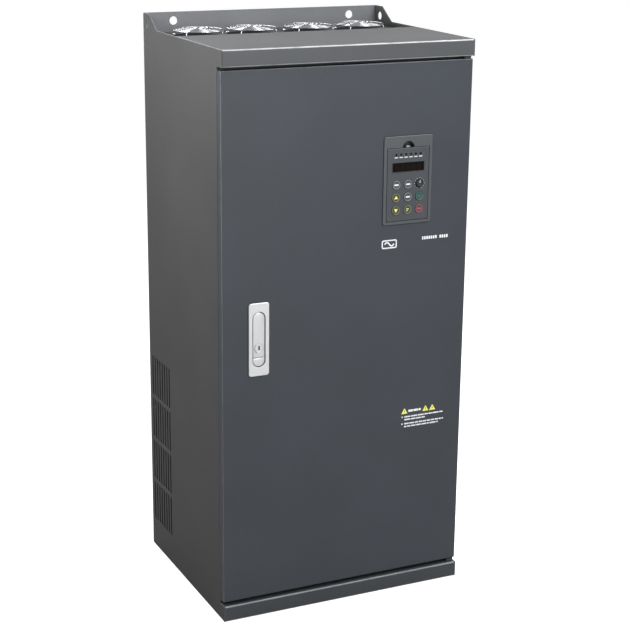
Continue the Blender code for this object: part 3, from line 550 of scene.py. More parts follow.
for d in range(5):
    x = dc.x + (d - 2) * 0.0112
    s, t, hh = 0.0040, 0.0010, 0.0054
    for (px, pz, pw, ph) in ((0, hh, s, t), (0, 0, s, t), (0, -hh, s, t), (-s / 2 - t * .8, hh / 2, t, hh - t), (s / 2 + t * .8, hh / 2, t, hh - t), (-s / 2 - t * .8, -hh / 2, t, hh - t), (s / 2 + t * .8, -hh / 2, t, hh - t)):
        plate_poly(bm, rrect(x + px, dc.z + pz, pw, ph, 0.0003, 2), dlo.y - 0.00004, dlo.y + 0.0004)
fix(bm)
mesh_obj("display_segments", bm, M["seg"], "keypad")

# speed knob: knurled rim, pointer, ring of scale ticks
klo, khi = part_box("speed_knob")
kc = (klo + khi) / 2
kr = (khi.x - klo.x) / 2
bm = bmesh.new()
seg = 72
prof = [(khi.y, 1.0), (klo.y + 0.0016, 1.0), (klo.y + 0.0006, 0.93), (klo.y + 0.0001, 0.80), (klo.y + 0.0003, 0.62), (klo.y + 0.0003, 0.1)]
rings = []
for d, s in prof:
    rings.append([bm.verts.new((kc.x + kr * s * (1 - (0.05 if k % 4 < 2 and s > 0.9 else 0)) * cos(2 * pi * k / seg), d,
                                kc.z + kr * s * (1 - (0.05 if k % 4 < 2 and s > 0.9 else 0)) * sin(2 * pi * k / seg))) for k in range(seg)])
for r0, r1 in zip(rings[:-1], rings[1:]):
    for k in range(seg):
        bm.faces.new((r0[k], r0[(k + 1) % seg], r1[(k + 1) % seg], r1[k]))
bm.faces.new(rings[0]); bm.faces.new(rings[-1][::-1])
fix(bm)
kn = mesh_obj("speed_knob_grip", bm, M["black"], "speed_knob", True)
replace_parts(kn, "speed_knob")
bm = bmesh.new()
plate_poly(bm, rrect(kc.x, kc.z + kr * 0.42, 0.0012, kr * 0.62, 0.0004), klo.y + 0.0001, klo.y + 0.0008)
fix(bm)
mesh_obj("speed_knob_pointer", bm, M["white"], "speed_knob")
bm = bmesh.new()
for k in range(11):
    a = radians(-150 + 30 * k)
    x, z = kc.x + 0.0099 * sin(a), kc.z + 0.0099 * cos(a)
    plate_poly(bm, [(x + 0.00055 * cos(2 * pi * j / 8), z + 0.00055 * sin(2 * pi * j / 8)) for j in range(8)], yf - 0.00006, yf + 0.0006)
fix(bm)
mesh_obj("speed_knob_scale", bm, M["white"], "keypad")

# release tab seen in the thumb notch
bm = bmesh.new()
plate_poly(bm, rrect(cx, pad_hi.z + 0.0022, 0.0075, 0.0020, 0.0008), yf + 0.0022, yf + 0.0075)
fix(bm)
mesh_obj("keypad_release_tab", bm, M["greyp"], "keypad")

# ---------------------------------------------------------------- plain marks on the door
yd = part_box("door_panel")[0].y


def plain(name, polys, mat, t=0.00012):
    bm = bmesh.new()
    for p in polys:
        plate_poly(bm, p, yd - t, yd + 0.0004)
    fix(bm)
    return mesh_obj(name, bm, mat, "door")


# blank nameplate: a rounded frame round a plain sine wave
def ring_poly(bm, outer, inner, y0, y1):
    vo = [[bm.verts.new((x, y, z)) for x, z in loop] for loop, y in ((outer, y1), (outer, y0), (inner, y0), (inner, y1))]
    for a in range(4):
        r0, r1 = vo[a], vo[(a + 1) % 4]
        for k in range(len(r0)):
            j = (k + 1) % len(r0)
            bm.faces.new((r0[k], r0[j], r1[j], r1[k]))


BX, BZ = 0.0845, 0.7015
bm = bmesh.new()
ring_poly(bm, rrect(BX, BZ, 0.0315, 0.0165, 0.0034), rrect(BX, BZ, 0.0268, 0.0118, 0.0018), yd - 0.00012, yd + 0.0004)
pts = [(-0.0098 + 0.0196 * k / 24, 0.0036 * sin(2 * pi * k / 24)) for k in range(25)]
up_, dn_ = [], []
for k, (x, z) in enumerate(pts):
    a = pts[max(k - 1, 0)]; b = pts[min(k + 1, 24)]
    t = Vector((b[0] - a[0], b[1] - a[1])).normalized()
    up_.append((BX + x - t.y * 0.0013, BZ + z + t.x * 0.0013)); dn_.append((BX + x + t.y * 0.0013, BZ + z - t.x * 0.0013))
for k in range(24):
    plate_poly(bm, [up_[k], up_[k + 1], dn_[k + 1], dn_[k]], yd - 0.00012, yd + 0.0004)
bmesh.ops.remove_doubles(bm, verts=bm.verts, dist=1e-6)
fix(bm)
mesh_obj("nameplate_frame", bm, M["white"], "door")


def dashes(x0, x1, z, h, seed, gap=0.0011):
    """A row of plain bars of varied length, from x0 to x1."""
    r = random.Random(seed)
    out, x = [], x0
    while x < x1 - 0.002:
        w = min(r.choice((0.0052, 0.0078, 0.0104, 0.0136)), x1 - x)
        out.append(rrect(x + w / 2, z, w, h, min(h, w) * 0.3, 2))
        x += w + gap
    return out


plain("nameplate_bars", [rrect(0.1550 + 0.0047 * k, 0.7070, 0.0036 if k % 5 else 0.0030, 0.0060, 0.0008, 2) for k in range(12) if k != 7], M["white"])


def tri(cx, cz, s):
    return [(cx - s, cz - s * 0.62), (cx + s, cz - s * 0.62), (cx + s * 0.10, cz + s * 0.98), (cx - s * 0.10, cz + s * 0.98)]


zt = 0.3660
plain("caution_triangles", [tri(0.1262, zt, 0.0066), tri(0.1722, zt, 0.0066), tri(0.1872, zt, 0.0066)], M["yellow"])
plain("caution_triangle_marks", [rrect(x, zt + 0.0008, 0.0010, 0.0046, 0.0003, 2) for x in (0.1262, 0.1722, 0.1872)], M["led"], 0.00018)
plain("caution_bar", dashes(0.1345, 0.1640, zt + 0.0008, 0.0046, 5, 0.0008), M["white"])
plain("caution_lines", dashes(0.1262, 0.2115, 0.3555, 0.0026, 11) + dashes(0.1262, 0.1740, 0.3498, 0.0026, 12) +
      dashes(0.1262, 0.2125, 0.3415, 0.0026, 13) + dashes(0.1262, 0.2010, 0.3358, 0.0026, 14) +
      [rrect(0.1216, 0.3555, 0.0030, 0.0030, 0.0012), rrect(0.1216, 0.3415, 0.0030, 0.0030, 0.0012)], M["white"])

# black rings round the keypad tray and the lock plate: painted shadow lines standing in for the shade round their
# raised edges
bm = bmesh.new()
tlo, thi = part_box("keypad_tray")
tc, tw, th = (tlo + thi) / 2, thi.x - tlo.x, thi.z - tlo.z
ring_poly(bm, rrect(tc.x, tc.z, tw + 0.0019, th + 0.0019, 0.0048), rrect(tc.x, tc.z, tw - 0.001, th - 0.001, 0.0036), yd - 0.0006, yd + 0.0002)
fix(bm)
mesh_obj("keypad_tray_painted_shadow", bm, M["rubber"], "door")
bm = bmesh.new()
llo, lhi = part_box("lock_plate")
lc, lw, lh = (llo + lhi) / 2, lhi.x - llo.x, lhi.z - llo.z
ring_poly(bm, rrect(lc.x, lc.z, lw + 0.0013, lh + 0.0013, 0.0056), rrect(lc.x, lc.z, lw - 0.001, lh - 0.001, 0.0046), yd - 0.0005, yd + 0.0002)
fix(bm)
mesh_obj("lock_plate_painted_shadow", bm, M["rubber"], "door")

# black rings down in the gaps round the keypad and round the lock's handle: painted shade filling the gaps
plo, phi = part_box("keypad_body")
pc, pw, ph = (plo + phi) / 2, phi.x - plo.x, phi.z - plo.z
bm = bmesh.new()
ring_poly(bm, rrect(pc.x, pc.z, pw + 0.00210, ph + 0.00210, 0.0004, 2), rrect(pc.x, pc.z, pw + 0.00020, ph + 0.00020, 0.0003, 2), plo.y + 0.0012, plo.y + 0.0030)
fix(bm)
mesh_obj("keypad_gap_painted_shade", bm, M["rubber"], "door")


def slot_loop(cx, z0, z1, r, n=16):
    return [(cx + r * cos(pi * k / n), z1 - r + r * sin(pi * k / n)) for k in range(n + 1)] + \
           [(cx - r * cos(pi * k / n), z0 + r - r * sin(pi * k / n)) for k in range(n + 1)]


lzc = (llo.z + lhi.z) / 2
bm = bmesh.new()
ring_poly(bm, slot_loop(lc.x, lzc - 0.05245, lzc + 0.05245, 0.01295), slot_loop(lc.x, lzc - 0.0515, lzc + 0.0515, 0.01200), llo.y + 0.0016, llo.y + 0.0046)
fix(bm)
mesh_obj("lock_gap_painted_shade", bm, M["rubber"], "door")

# ---------------------------------------------------------------- lock handle and button with crowned edges
def crowned(name, node, pts, hole, y0, y1, ch, mat):
    """Flat piece with a rounded shoulder round its front; hole is (cx, cz, r)."""
    def inset(poly, d):
        n = len(poly); out = []
        for k in range(n):
            a, b, c = Vector(poly[k - 1]), Vector(poly[k]), Vector(poly[(k + 1) % n])
            e0, e1 = (b - a).normalized(), (c - b).normalized()
            n0, n1 = Vector((-e0.y, e0.x)), Vector((-e1.y, e1.x))
            m_ = (n0 + n1); m_ = m_ / max(m_.length_squared / 2, 1e-6)
            out.append((b.x + m_.x * d, b.y + m_.y * d))
        return out
    bm = bmesh.new()
    loops = [(pts, y1)]
    for k in range(5):
        a = radians(90 * k / 4)
        loops.append((inset(pts, ch * (1 - cos(a))), y0 + ch * 0.75 * (1 - sin(a))))
    rings = [[bm.verts.new((x, y, z)) for x, z in poly] for poly, y in loops]
    for r0, r1 in zip(rings[:-1], rings[1:]):
        for k in range(len(r0)):
            j = (k + 1) % len(r0)
            bm.faces.new((r0[k], r0[j], r1[j], r1[k]))
    if hole:
        hx, hz, hr = hole
        fr = [bm.verts.new((hx + hr * cos(2 * pi * k / 40), y0, hz + hr * sin(2 * pi * k / 40))) for k in range(40)]
        bk = [bm.verts.new((hx + hr * cos(2 * pi * k / 40), y1, hz + hr * sin(2 * pi * k / 40))) for k in range(40)]
        for k in range(40):
            j = (k + 1) % 40
            bm.faces.new((fr[k], fr[j], bk[j], bk[k]))
        bm.edges.ensure_lookup_table()
        for ring, other in ((rings[-1], fr), (rings[0], bk)):
            edges = [bm.edges.get((ring[k], ring[(k + 1) % len(ring)])) for k in range(len(ring))]
            edges += [bm.edges.get((other[k], other[(k + 1) % 40])) for k in range(40)]
            bmesh.ops.triangle_fill(bm, use_beauty=True, edges=edges)
    else:
        bm.faces.new(rings[-1]); bm.faces.new(rings[0][::-1])
    fix(bm)
    o = mesh_obj(name, bm, mat, N_BODY[node], True)
    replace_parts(o, node)
    return o


N_BODY = {"lock_handle": "lock_handle", "lock_button": "lock_button"}
hlo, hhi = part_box("lock_handle")
blo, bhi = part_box("lock_button")
hx = (hlo.x + hhi.x) / 2
hr = 0.0119
ztop = hhi.z - (hhi.x - hlo.x) / 2
key = mid("lock_cylinder")
hp = [(hx + hr * cos(radians(180 * k / 18)), ztop + hr * sin(radians(180 * k / 18))) for k in range(19)] + [(hx - hr, hlo.z), (hx + hr, hlo.z)]
crowned("lock_handle_grip", "lock_handle", hp, (key.x, key.z, 0.0093), hlo.y + 0.0004, hhi.y, 0.0022, M["silver2"])
zbot = blo.z + (bhi.x - blo.x) / 2
bp = [(hx + hr, bhi.z), (hx - hr, bhi.z)] + [(hx + hr * cos(radians(180 + 180 * k / 18)), zbot + hr * sin(radians(180 + 180 * k / 18))) for k in range(19)]
crowned("lock_button_cap", "lock_button", bp, None, blo.y + 0.0004, bhi.y, 0.0022, M["silver2"])
# key slot: near-black liner in the cylinder, painted shade in the keyway; chamfered ring round its face
bm = bmesh.new()
clo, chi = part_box("lock_cylinder")
plate_poly(bm, rrect(key.x, key.z, 0.0029, 0.0086, 0.0010, 3), clo.y - 0.00006, clo.y + 0.0055)
fix(bm)
mesh_obj("lock_key_slot_painted_shade", bm, M["led"], "lock_cylinder")
bm = bmesh.new()
seg = 56
prof = [(clo.y + 0.0003, 0.0088), (clo.y - 0.00015, 0.0084), (clo.y - 0.0002, 0.0078), (clo.y + 0.0001, 0.0074), (clo.y + 0.0008, 0.0074), (clo.y + 0.0008, 0.0088)]
rings = [[bm.verts.new((key.x + rr * cos(2 * pi * k / seg), d, key.z + rr * sin(2 * pi * k / seg))) for k in range(seg)] for d, rr in prof]
for a in range(len(rings)):
    r0, r1 = rings[a], rings[(a + 1) % len(rings)]
    for k in range(seg):
        bm.faces.new((r0[k], r0[(k + 1) % seg], r1[(k + 1) % seg], r1[k]))
fix(bm)
mesh_obj("lock_cylinder_ring", bm, M["steel"], "lock_cylinder", True)

# ---------------------------------------------------------------- inside of the cabinet
M["tgreen"] = plastic("terminal_green", (0.020, 0.200, 0.085), 0.42)
M["ic"] = plastic("epoxy_package", (0.014, 0.014, 0.015), 0.38)
# near-black fill for slots, openings, holes and screw recesses: painted shade; it also makes two darker patches on
# package faces
M["dark"] = plastic("recess_painted_shade", (0.006, 0.006, 0.007), 0.6)
M["tin"] = metal("tinned_plate", (0.72, 0.72, 0.71), 0.26, None, 700, 0.00002, 0.95)
M["gold"] = metal("gold_pin", (0.85, 0.62, 0.25), 0.25, None, 700, 0.00001, 1.0)
M["brass"] = metal("brass_bolt", (0.72, 0.56, 0.30), 0.30, None, 700, 0.00002, 1.0)
M["tape"] = plastic("transformer_tape", (0.62, 0.46, 0.06), 0.40, 300, 0.00004)
M["ferrite"] = plastic("ferrite_core", (0.045, 0.045, 0.048), 0.50, 500, 0.00008)
M["relay"] = plastic("relay_case", (0.025, 0.060, 0.180), 0.35)
M["conn"] = plastic("connector_white", (0.62, 0.61, 0.57), 0.45)
M["cera"] = plastic("ceramic_chip", (0.26, 0.17, 0.10), 0.45)
M["lam"] = metal("core_lamination", (0.20, 0.20, 0.21), 0.45, "X", 600, 0.00003, 0.8)
M["enam"] = metal("enamelled_copper", (0.52, 0.19, 0.07), 0.26, "Z", 500, 0.00002, 0.85)
M["phen"] = plastic("phenolic_disc", (0.030, 0.026, 0.024), 0.45)
M["bolt"] = metal("zinc_bolt", (0.66, 0.66, 0.64), 0.30, None, 900, 0.00002, 0.95)


def W_(x, y, z):
    """Millimetres from the cabinet's front face, centre line and floor to the row frame."""
    return Vector((x, y - 200.0, z)) / 1000.0


def rbox(bm, x0, x1, y0, y1, z0, z1, ch=0.5, seg=2):
    t = bmesh.new()
    c = W_((x0 + x1) / 2, (y0 + y1) / 2, (z0 + z1) / 2)
    bmesh.ops.create_cube(t, size=1.0, matrix=Matrix.Translation(c) @ Matrix.Diagonal(
        ((x1 - x0) / 1000, (y1 - y0) / 1000, (z1 - z0) / 1000, 1)))
    if ch:
        bmesh.ops.bevel(t, geom=t.edges[:], offset=ch / 1000, segments=seg, affect="EDGES", profile=0.5)
    me = bpy.data.meshes.new("t"); t.to_mesh(me); t.free()
    bm.from_mesh(me); bpy.data.meshes.remove(me)


def turn(bm, x, z, prof, seg=28):
    lathe(bm, x / 1000, 0, z / 1000, "Y", [((y - 200.0) / 1000, r / 1000) for y, r in prof], seg)


def hexbolt(bm, x, z, y, r=5.0, h=3.6):
    """Hexagon head on a washer, standing forwards from the face at y."""
    turn(bm, x, z, [(y + 0.4, r * 1.42), (y - 0.8, r * 1.42), (y - 1.0, r * 1.30)], 26)
    turn(bm, x, z, [(y - 0.9, r), (y - 0.9 - h * 0.8, r), (y - 0.9 - h, r * 0.84)], 6)
    turn(bm, x, z, [(y - 0.9, r * 0.5), (y - 1.0 - h, r * 0.5), (y - 1.6 - h, r * 0.36)], 18)


def panhead(bm, bs, x, z, y, r=3.4):
    """Cross-head screw; bs takes the cross recess, filled near-black as painted shade."""
    turn(bm, x, z, [(y + 0.4, r), (y - 0.5, r), (y - 1.3, r * 0.86), (y - 1.8, r * 0.52)], 22)
    for w, h_ in ((r * 0.95, r * 0.20), (r * 0.20, r * 0.95)):
        rbox(bs, x - w / 2, x + w / 2, y - 1.86, y - 1.2, z - h_ / 2, z + h_ / 2, 0)


class Kit(dict):
    """One mesh under construction for each material of an assembly."""
    def __missing__(self, k):
        self[k] = bmesh.new()
        return self[k]

    def done(self, name, body, smooth=True):
        out = {}
        for k, bm in self.items():
            fix(bm)
            out[k] = mesh_obj("%s_%s" % (name, k), bm, M[k], body, smooth)
        return out


# control board: pluggable terminal strip, relays, processor, supply parts, header
K = Kit()
rn = random.Random(5)
for b in range(5):
    x0 = -120 + 48 * b + 0.9
    rbox(K["tgreen"], x0, x0 + 46.2, 71.2, 86.2, 755.3, 768.7, 0.5)
    for p in range(9):
        x = x0 + 2.8 + 5.08 * p
        rbox(K["dark"], x - 1.6, x + 1.6, 71.0, 72.0, 756.6, 761.2, 0)
        turn(K["tin"], x, 765.0, [(71.6, 1.7), (71.0, 1.7), (70.85, 1.4)], 14)
        rbox(K["dark"], x - 1.3, x + 1.3, 70.78, 71.2, 764.75, 765.25, 0)
rbox(K["ic"], -20.4, 24.4, 81.6, 86.2, 849.6, 894.4, 0.5)
rbox(K["dark"], -16, 20, 81.5, 82.4, 854, 890, 0.2)
for k in range(20):
    q = 852 + 2.1 * k
    rbox(K["tin"], -23.4, -20.0, 84.6, 86.1, q - 0.45, q + 0.45, 0); rbox(K["tin"], 24.0, 27.4, 84.6, 86.1, q - 0.45, q + 0.45, 0)
    q = -18 + 2.1 * k
    rbox(K["tin"], q - 0.45, q + 0.45, 84.6, 86.1, 846.4, 850, 0); rbox(K["tin"], q - 0.45, q + 0.45, 84.6, 86.1, 894, 897.6, 0)
rbox(K["tin"], -100.5, -59.5, 79.5, 86.2, 859.5, 900.5, 0.8)
for a in range(6):
    for b in range(6):
        turn(K["dark"], -95.5 + 6.2 * a, 864.5 + 6.2 * b, [(79.9, 1.1), (79.44, 1.1)], 12)
rbox(K["tape"], 58.5, 111.5, 77.6, 84.0, 923, 957, 2.0)
rbox(K["ferrite"], 59.6, 110.4, 75.6, 86.2, 919.6, 926, 0.8); rbox(K["ferrite"], 59.6, 110.4, 75.6, 86.2, 954, 960.4, 0.8)
for k in range(5):
    x = -112 + 24 * k
    rbox(K["relay"], x, x + 17.5, 71, 86.2, 777, 796, 0.7)
    rbox(K["conn"], x + 3, x + 14.5, 70.9, 71.4, 781, 783.2, 0.1)
for x0, z0, n in ((20, 781, 17), (-60, 930, 13), (30, 812, 10)):
    w = 2.54 * n + 4
    rbox(K["ic"], x0, x0 + w, 77, 86.2, z0, z0 + 9.4, 0.4)
    rbox(K["dark"], x0 + 1.4, x0 + w - 1.4, 76.95, 77.6, z0 + 1.4, z0 + 8.0, 0)
    for a in range(n):
        for b in (0, 1):
            x, z = x0 + 3.3 + 2.54 * a, z0 + 3.4 + 2.54 * b
            rbox(K["gold"], x - 0.32, x + 0.32, 76.2, 78, z - 0.32, z + 0.32, 0)
for x, z, r, h_ in ((-112, 925, 6.3, 16), (-96, 925, 6.3, 16), (-80, 925, 6.3, 16), (-112, 944, 8, 20), (-92, 946, 8, 20),
                    (84, 835, 5, 12), (98, 835, 5, 12), (112, 835, 5, 12), (60, 880, 8, 18), (80, 880, 8, 18), (100, 880, 8, 18), (100, 900, 5, 11), (60, 899, 5, 11)):
    turn(K["sleeve"], x, z, [(86.2, r), (86.6 - h_, r), (86 - h_, r - 0.6)], 26)
    turn(K["tin"], x, z, [(86.6 - h_, r - 0.7), (85.8 - h_, r - 0.8), (85.9 - h_, r - 1.6)], 26)
    rbox(K["dark"], x - r * 0.5, x + r * 0.5, 85.74 - h_, 86.2 - h_, z - 0.2, z + 0.2, 0)
    rbox(K["dark"], x - 0.2, x + 0.2, 85.74 - h_, 86.2 - h_, z - r * 0.5, z + r * 0.5, 0)
taken = [(-124, 124, 750, 800), (-126, -56, 855, 960), (-30, 32, 840, 902), (52, 116, 866, 965), (16, 62, 808, 826), (-64, -20, 926, 944), (76, 120, 826, 842)]


def clear(x, z, g, boxes):
    return all(x < a - g or x > b + g or z < c - g or z > d + g for a, b, c, d in boxes)


for (x, z) in ((-104, 832), (-80, 832), (-56, 832), (-40, 870), (-10, 826), (6, 958), (30, 940), (-100, 812), (-70, 812), (40, 972), (70, 972), (-30, 962)):
    rbox(K["ic"], x - 5.2, x + 5.2, 84.3, 86.2, z - 3.2, z + 3.2, 0.3)
    turn(K["dark"], x - 3.8, z - 1.8, [(84.6, 0.6), (84.27, 0.6)], 10)
    for k in range(7):
        q = x - 4.4 + 1.47 * k
        rbox(K["tin"], q - 0.3, q + 0.3, 85.4, 86.1, z - 4.6, z + 4.6, 0)
    taken.append((x - 6, x + 6, z - 5, z + 5))
for k in range(420):
    x, z = round(rn.uniform(-124, 124) / 3.2) * 3.2, round(rn.uniform(803, 981) / 3.2) * 3.2
    if not clear(x, z, 2.2, taken):
        continue
    taken.append((x - 1.0, x + 1.0, z - 1.0, z + 1.0))
    a, b = (1.1, 0.6) if rn.random() < 0.6 else (0.6, 1.1)
    rbox(K[rn.choice(("cera", "cera", "ic"))], x - a, x + a, 85.3, 86.1, z - b, z + b, 0)
    rbox(K["tin"], x - a - (0.35 if a > b else 0), x + a + (0.35 if a > b else 0), 85.5, 86.1, z - b - (0.35 if b > a else 0), z + b + (0.35 if b > a else 0), 0)
for x in (-122, 122):
    for z in (802, 977):
        turn(K["gold"], x, z, [(86.1, 5.2), (85.93, 5.2)], 26)
        panhead(K["bolt"], K["dark"], x, z, 85.95, 3.3)
K.done("control_board", "cabinet")

# driver board: transformers, gate driver modules, plugs
K = Kit()
for x0, x1, y0, z0, z1 in ((-140, -110, 160, 430, 496), (80, 130, 158, 430, 480)):
    rbox(K["ferrite"], x0 - 0.4, x1 + 0.4, y0 - 0.4, 178.2, z0 - 0.4, z0 + 9, 0.8)
    rbox(K["ferrite"], x0 - 0.4, x1 + 0.4, y0 - 0.4, 178.2, z1 - 9, z1 + 0.4, 0.8)
    rbox(K["tape"], x0 - 3.0, x1 + 3.0, y0 - 1.4, 176.0, z0 + 9.4, z1 - 9.4, 3.0, 3)
    for k in range(6):
        x = x0 + 2 + (x1 - x0 - 4) * k / 5
        rbox(K["tin"], x - 0.5, x + 0.5, 174, 178.1, z0 - 2.4, z0 - 1.4, 0)
for x0, x1 in ((-60, -20), (10, 50)):
    rbox(K["ic"], x0 - 0.4, x1 + 0.4, 165.6, 178.2, 435.6, 470.4, 1.0)
    rbox(K["dark"], x0 + 4, x1 - 4, 165.5, 166.2, 440, 466, 0.2)
    for k in range(12):
        x = x0 + 2 + 3.27 * k
        rbox(K["tin"], x - 0.4, x + 0.4, 173, 178.1, 432.6, 435.8, 0)
for x in (-96, -62, -28, 6, 40, 74):
    rbox(K["conn"], x, x + 17, 169, 178.2, 489, 499, 0.5)
    rbox(K["dark"], x + 1.6, x + 15.4, 168.95, 169.6, 491, 495.4, 0)
    for k in range(5):
        rbox(K["tin"], x + 2.4 + 3 * k, x + 3.2 + 3 * k, 168.7, 170, 492.8, 493.6, 0)
for x, z in ((-92, 444), (-78, 444), (-92, 462), (-78, 462), (64, 446), (64, 462), (142, 448), (142, 466)):
    turn(K["sleeve"], x, z, [(178.2, 5.2), (164.8, 5.2), (164.2, 4.6)], 24)
    turn(K["tin"], x, z, [(164.8, 4.5), (164.0, 4.4), (164.1, 3.6)], 24)
for k in range(46):
    x, z = -104 + 4.4 * k, 480.5 + 2.6 * (k % 2)
    rbox(K["cera" if k % 3 else "ic"], x - 1.2, x + 1.2, 177.3, 178.1, z - 0.6, z + 0.6, 0)
    rbox(K["tin"], x - 1.6, x + 1.6, 177.5, 178.1, z - 0.55, z + 0.55, 0)
for x in (-138, 138):
    for z in (425.5, 501):
        panhead(K["bolt"], K["dark"], x, z, 177.95, 3.0)
K.done("driver_board", "cabinet")

# capacitor bank: sleeved cans with rolled rims, phenolic discs, clamps and bar bolts
K = Kit()
CX, CZ = (-123.0, -41.0, 41.0, 123.0), (569.0, 657.0)
bm = bmesh.new()
rbox(bm, -168, 168, 226.7, 229.7, 520, 706, 0.4)
for x in CX:
    for z in CZ:
        turn(bm, x, z, [(227.0, 37.6), (224.0, 37.9), (113.6, 37.9), (111.6, 37.5), (110.7, 36.6), (110.9, 35.6)], 56)
        turn(K["tin"], x, z, [(112.5, 36.2), (110.6, 36.1), (110.2, 35.5), (110.6, 34.8), (112.6, 34.5)], 56)
        turn(K["phen"], x, z, [(114.0, 34.8), (111.2, 34.8), (111.0, 34.2)], 48)
        turn(K["tin"], x, z, [(112.0, 7.6), (109.8, 7.6)], 30)
        turn(K["tin"], x, z + 21, [(112.0, 7.0), (109.9, 7.0)], 30)
        turn(K["ic"], x + 17, z - 19, [(112.0, 3.4), (110.0, 3.2), (109.7, 2.4)], 20)
        turn(K["zinc"], x, z, [(214, 38.0), (214, 39.0), (203, 39.0), (203, 38.0)], 56)
        hexbolt(K["bolt"], x, z, 106.7, 5.2, 3.4)
for z in CZ:
    for x in (-82, 82):
        rbox(K["copper"], x - 50, x + 50, 107.6, 109.9, z + 14, z + 28, 0.4)
        for s in (-41, 41):
            hexbolt(K["bolt"], x + s, z + 21, 107.6, 4.2, 3.0)
fix(bm)
cans = mesh_obj("capacitor_cans", bm, M["sleeve"], "cabinet", True)
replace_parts(cans, "capacitor_bank")
K.done("capacitor_bank", "cabinet")

# power modules: lids, pads, stud bolts, corner screws
K = Kit()
for x in (-105.0, 0.0, 105.0):
    rbox(K["ic"], x - 24, x + 24, 198.7, 200.6, 312, 394, 0.8)
    for z in (322.0, 350.0, 378.0):
        turn(K["copper"], x, z, [(198.9, 9.5), (197.6, 9.5), (197.4, 9.1)], 30)
        turn(K["tin"], x, z, [(198, 6.3), (193.8, 6.3)], 6)
        hexbolt(K["bolt"], x, z, 194.0, 4.4, 3.2)
    for sx in (-26.2, 26.2):
        for z in (306, 400):
            panhead(K["bolt"], K["dark"], x + sx, z, 199.9, 3.4)
    for k in range(4):
        rbox(K["gold"], x + 13 + 2.4 * k, x + 14 + 2.4 * k, 194.5, 199, 388, 390, 0)
rbox(K["ic"], -152, -48, 202.9, 204.6, 204, 236, 0.8)
for x in (-145, -122, -100, -78, -55):
    turn(K["tin"], x, 220, [(203, 8.4), (201.9, 8.4)], 28)
    hexbolt(K["bolt"], x, 220, 198.0, 4.4, 3.2)
for x in (-155.5, -44.5):
    for z in (195, 245):
        panhead(K["bolt"], K["dark"], x, z, 203.9, 3.2)
K.done("power_modules", "cabinet")

# choke: stacked laminations, wound coils, corner bolts
K = Kit()
for k in range(44):
    z = 160.2 + 2.5 * k
    rbox(K["lam"], 39.6, 200.4, 149.6, 229.2, z, z + 2.1, 0)
for x in (48, 192):
    for z in (167.5, 262.5):
        hexbolt(K["bolt"], x, z, 149.5, 4.6, 3.4)
for x0, x1 in ((56, 104), (136, 184)):
    rbox(K["ic"], x0 - 4, x1 + 4, 128.5, 150, 171.5, 175.2, 0.6)
    rbox(K["ic"], x0 - 4, x1 + 4, 128.5, 150, 254.8, 258.5, 0.6)
    rbox(K["conn"], (x0 + x1) / 2 - 9, (x0 + x1) / 2 + 9, 129.6, 131.2, 206, 224, 0.4)
K.done("choke", "cabinet")
spl = []
for x0, x1 in ((56, 104), (136, 184)):
    for k in range(17):
        z = 177.4 + 4.7 * k
        pts = [tuple(W_(px, py, z)) for px, py in rrect((x0 + x1) / 2, 177.5, x1 - x0 - 1.6, 89.0, 7.0, 4)]
        spl.append((pts, True))
tube_curve("choke_windings", spl, 0.0024, M["enam"], "cabinet")

# power terminals and earth bar
K = Kit()
for k in range(8):
    x = -181.5 + 34 * k
    rbox(K["tin"], x - 11.5, x + 11.5, 203.6, 206.1, 83, 127, 0.4)
    for z in (95, 115):
        hexbolt(K["bolt"], x, z, 203.6, 4.6, 3.4)
for x in (-150, -90, -30, 30, 90, 150):
    hexbolt(K["brass"], x, 46, 214.0, 5.4, 4.0)
for x in (-195, 195):
    panhead(K["bolt"], K["dark"], x, 46, 213.9, 3.6)
for x in (-236, 236):
    for z in (30, 270, 520, 770, 1000):
        panhead(K["bolt"], K["dark"], x, z, 229.9, 4.2)
for x in (-160.5, 160.5):
    for z in (748, 867, 987):
        panhead(K["bolt"], K["dark"], x, z, 228.1, 3.6)
K.done("fixings", "cabinet")

# inside of the door: keypad socket, lock nuts, earth stud, spot welds
K = Kit()
rbox(K["ic"], 103, 135, 29.8, 37.0, 795, 817, 0.8)
rbox(K["dark"], 107, 131, 36.6, 37.1, 799, 813, 0.3)
for x in (78, 160):
    for z in (748, 893):
        turn(K["bolt"], x, z, [(29.8, 3.4), (31.2, 3.4), (31.7, 2.8)], 22)
for z in (496.5, 601.5):
    turn(K["bolt"], -178.9, z, [(23.8, 5.6), (27.0, 5.6), (27.4, 5.0)], 6)
turn(K["brass"], 190, 88, [(6.9, 9.0), (8.2, 9.0), (8.4, 8.4)], 30)
turn(K["brass"], 190, 88, [(8.0, 6.2), (12.4, 6.2), (12.8, 5.4)], 6)
turn(K["brass"], 190, 88, [(8.0, 2.9), (17.5, 2.9), (18.2, 2.3)], 20)
for x in (-50, 10):
    for k in range(11):
        turn(K["door"], x, 92 + 88 * k, [(8.6, 3.6), (8.95, 3.4), (9.05, 2.4)], 20)
K.done("door_inside", "door")
K = Kit()
turn(K["bolt"], -178.9, 533.2, [(29.0, 6.4), (33.0, 6.4), (33.4, 5.8)], 6)
turn(K["bolt"], -178.9, 533.2, [(29.0, 3.0), (34.6, 3.0), (35.0, 2.5)], 20)
K.done("lock_cam_nut", "lock_cam")

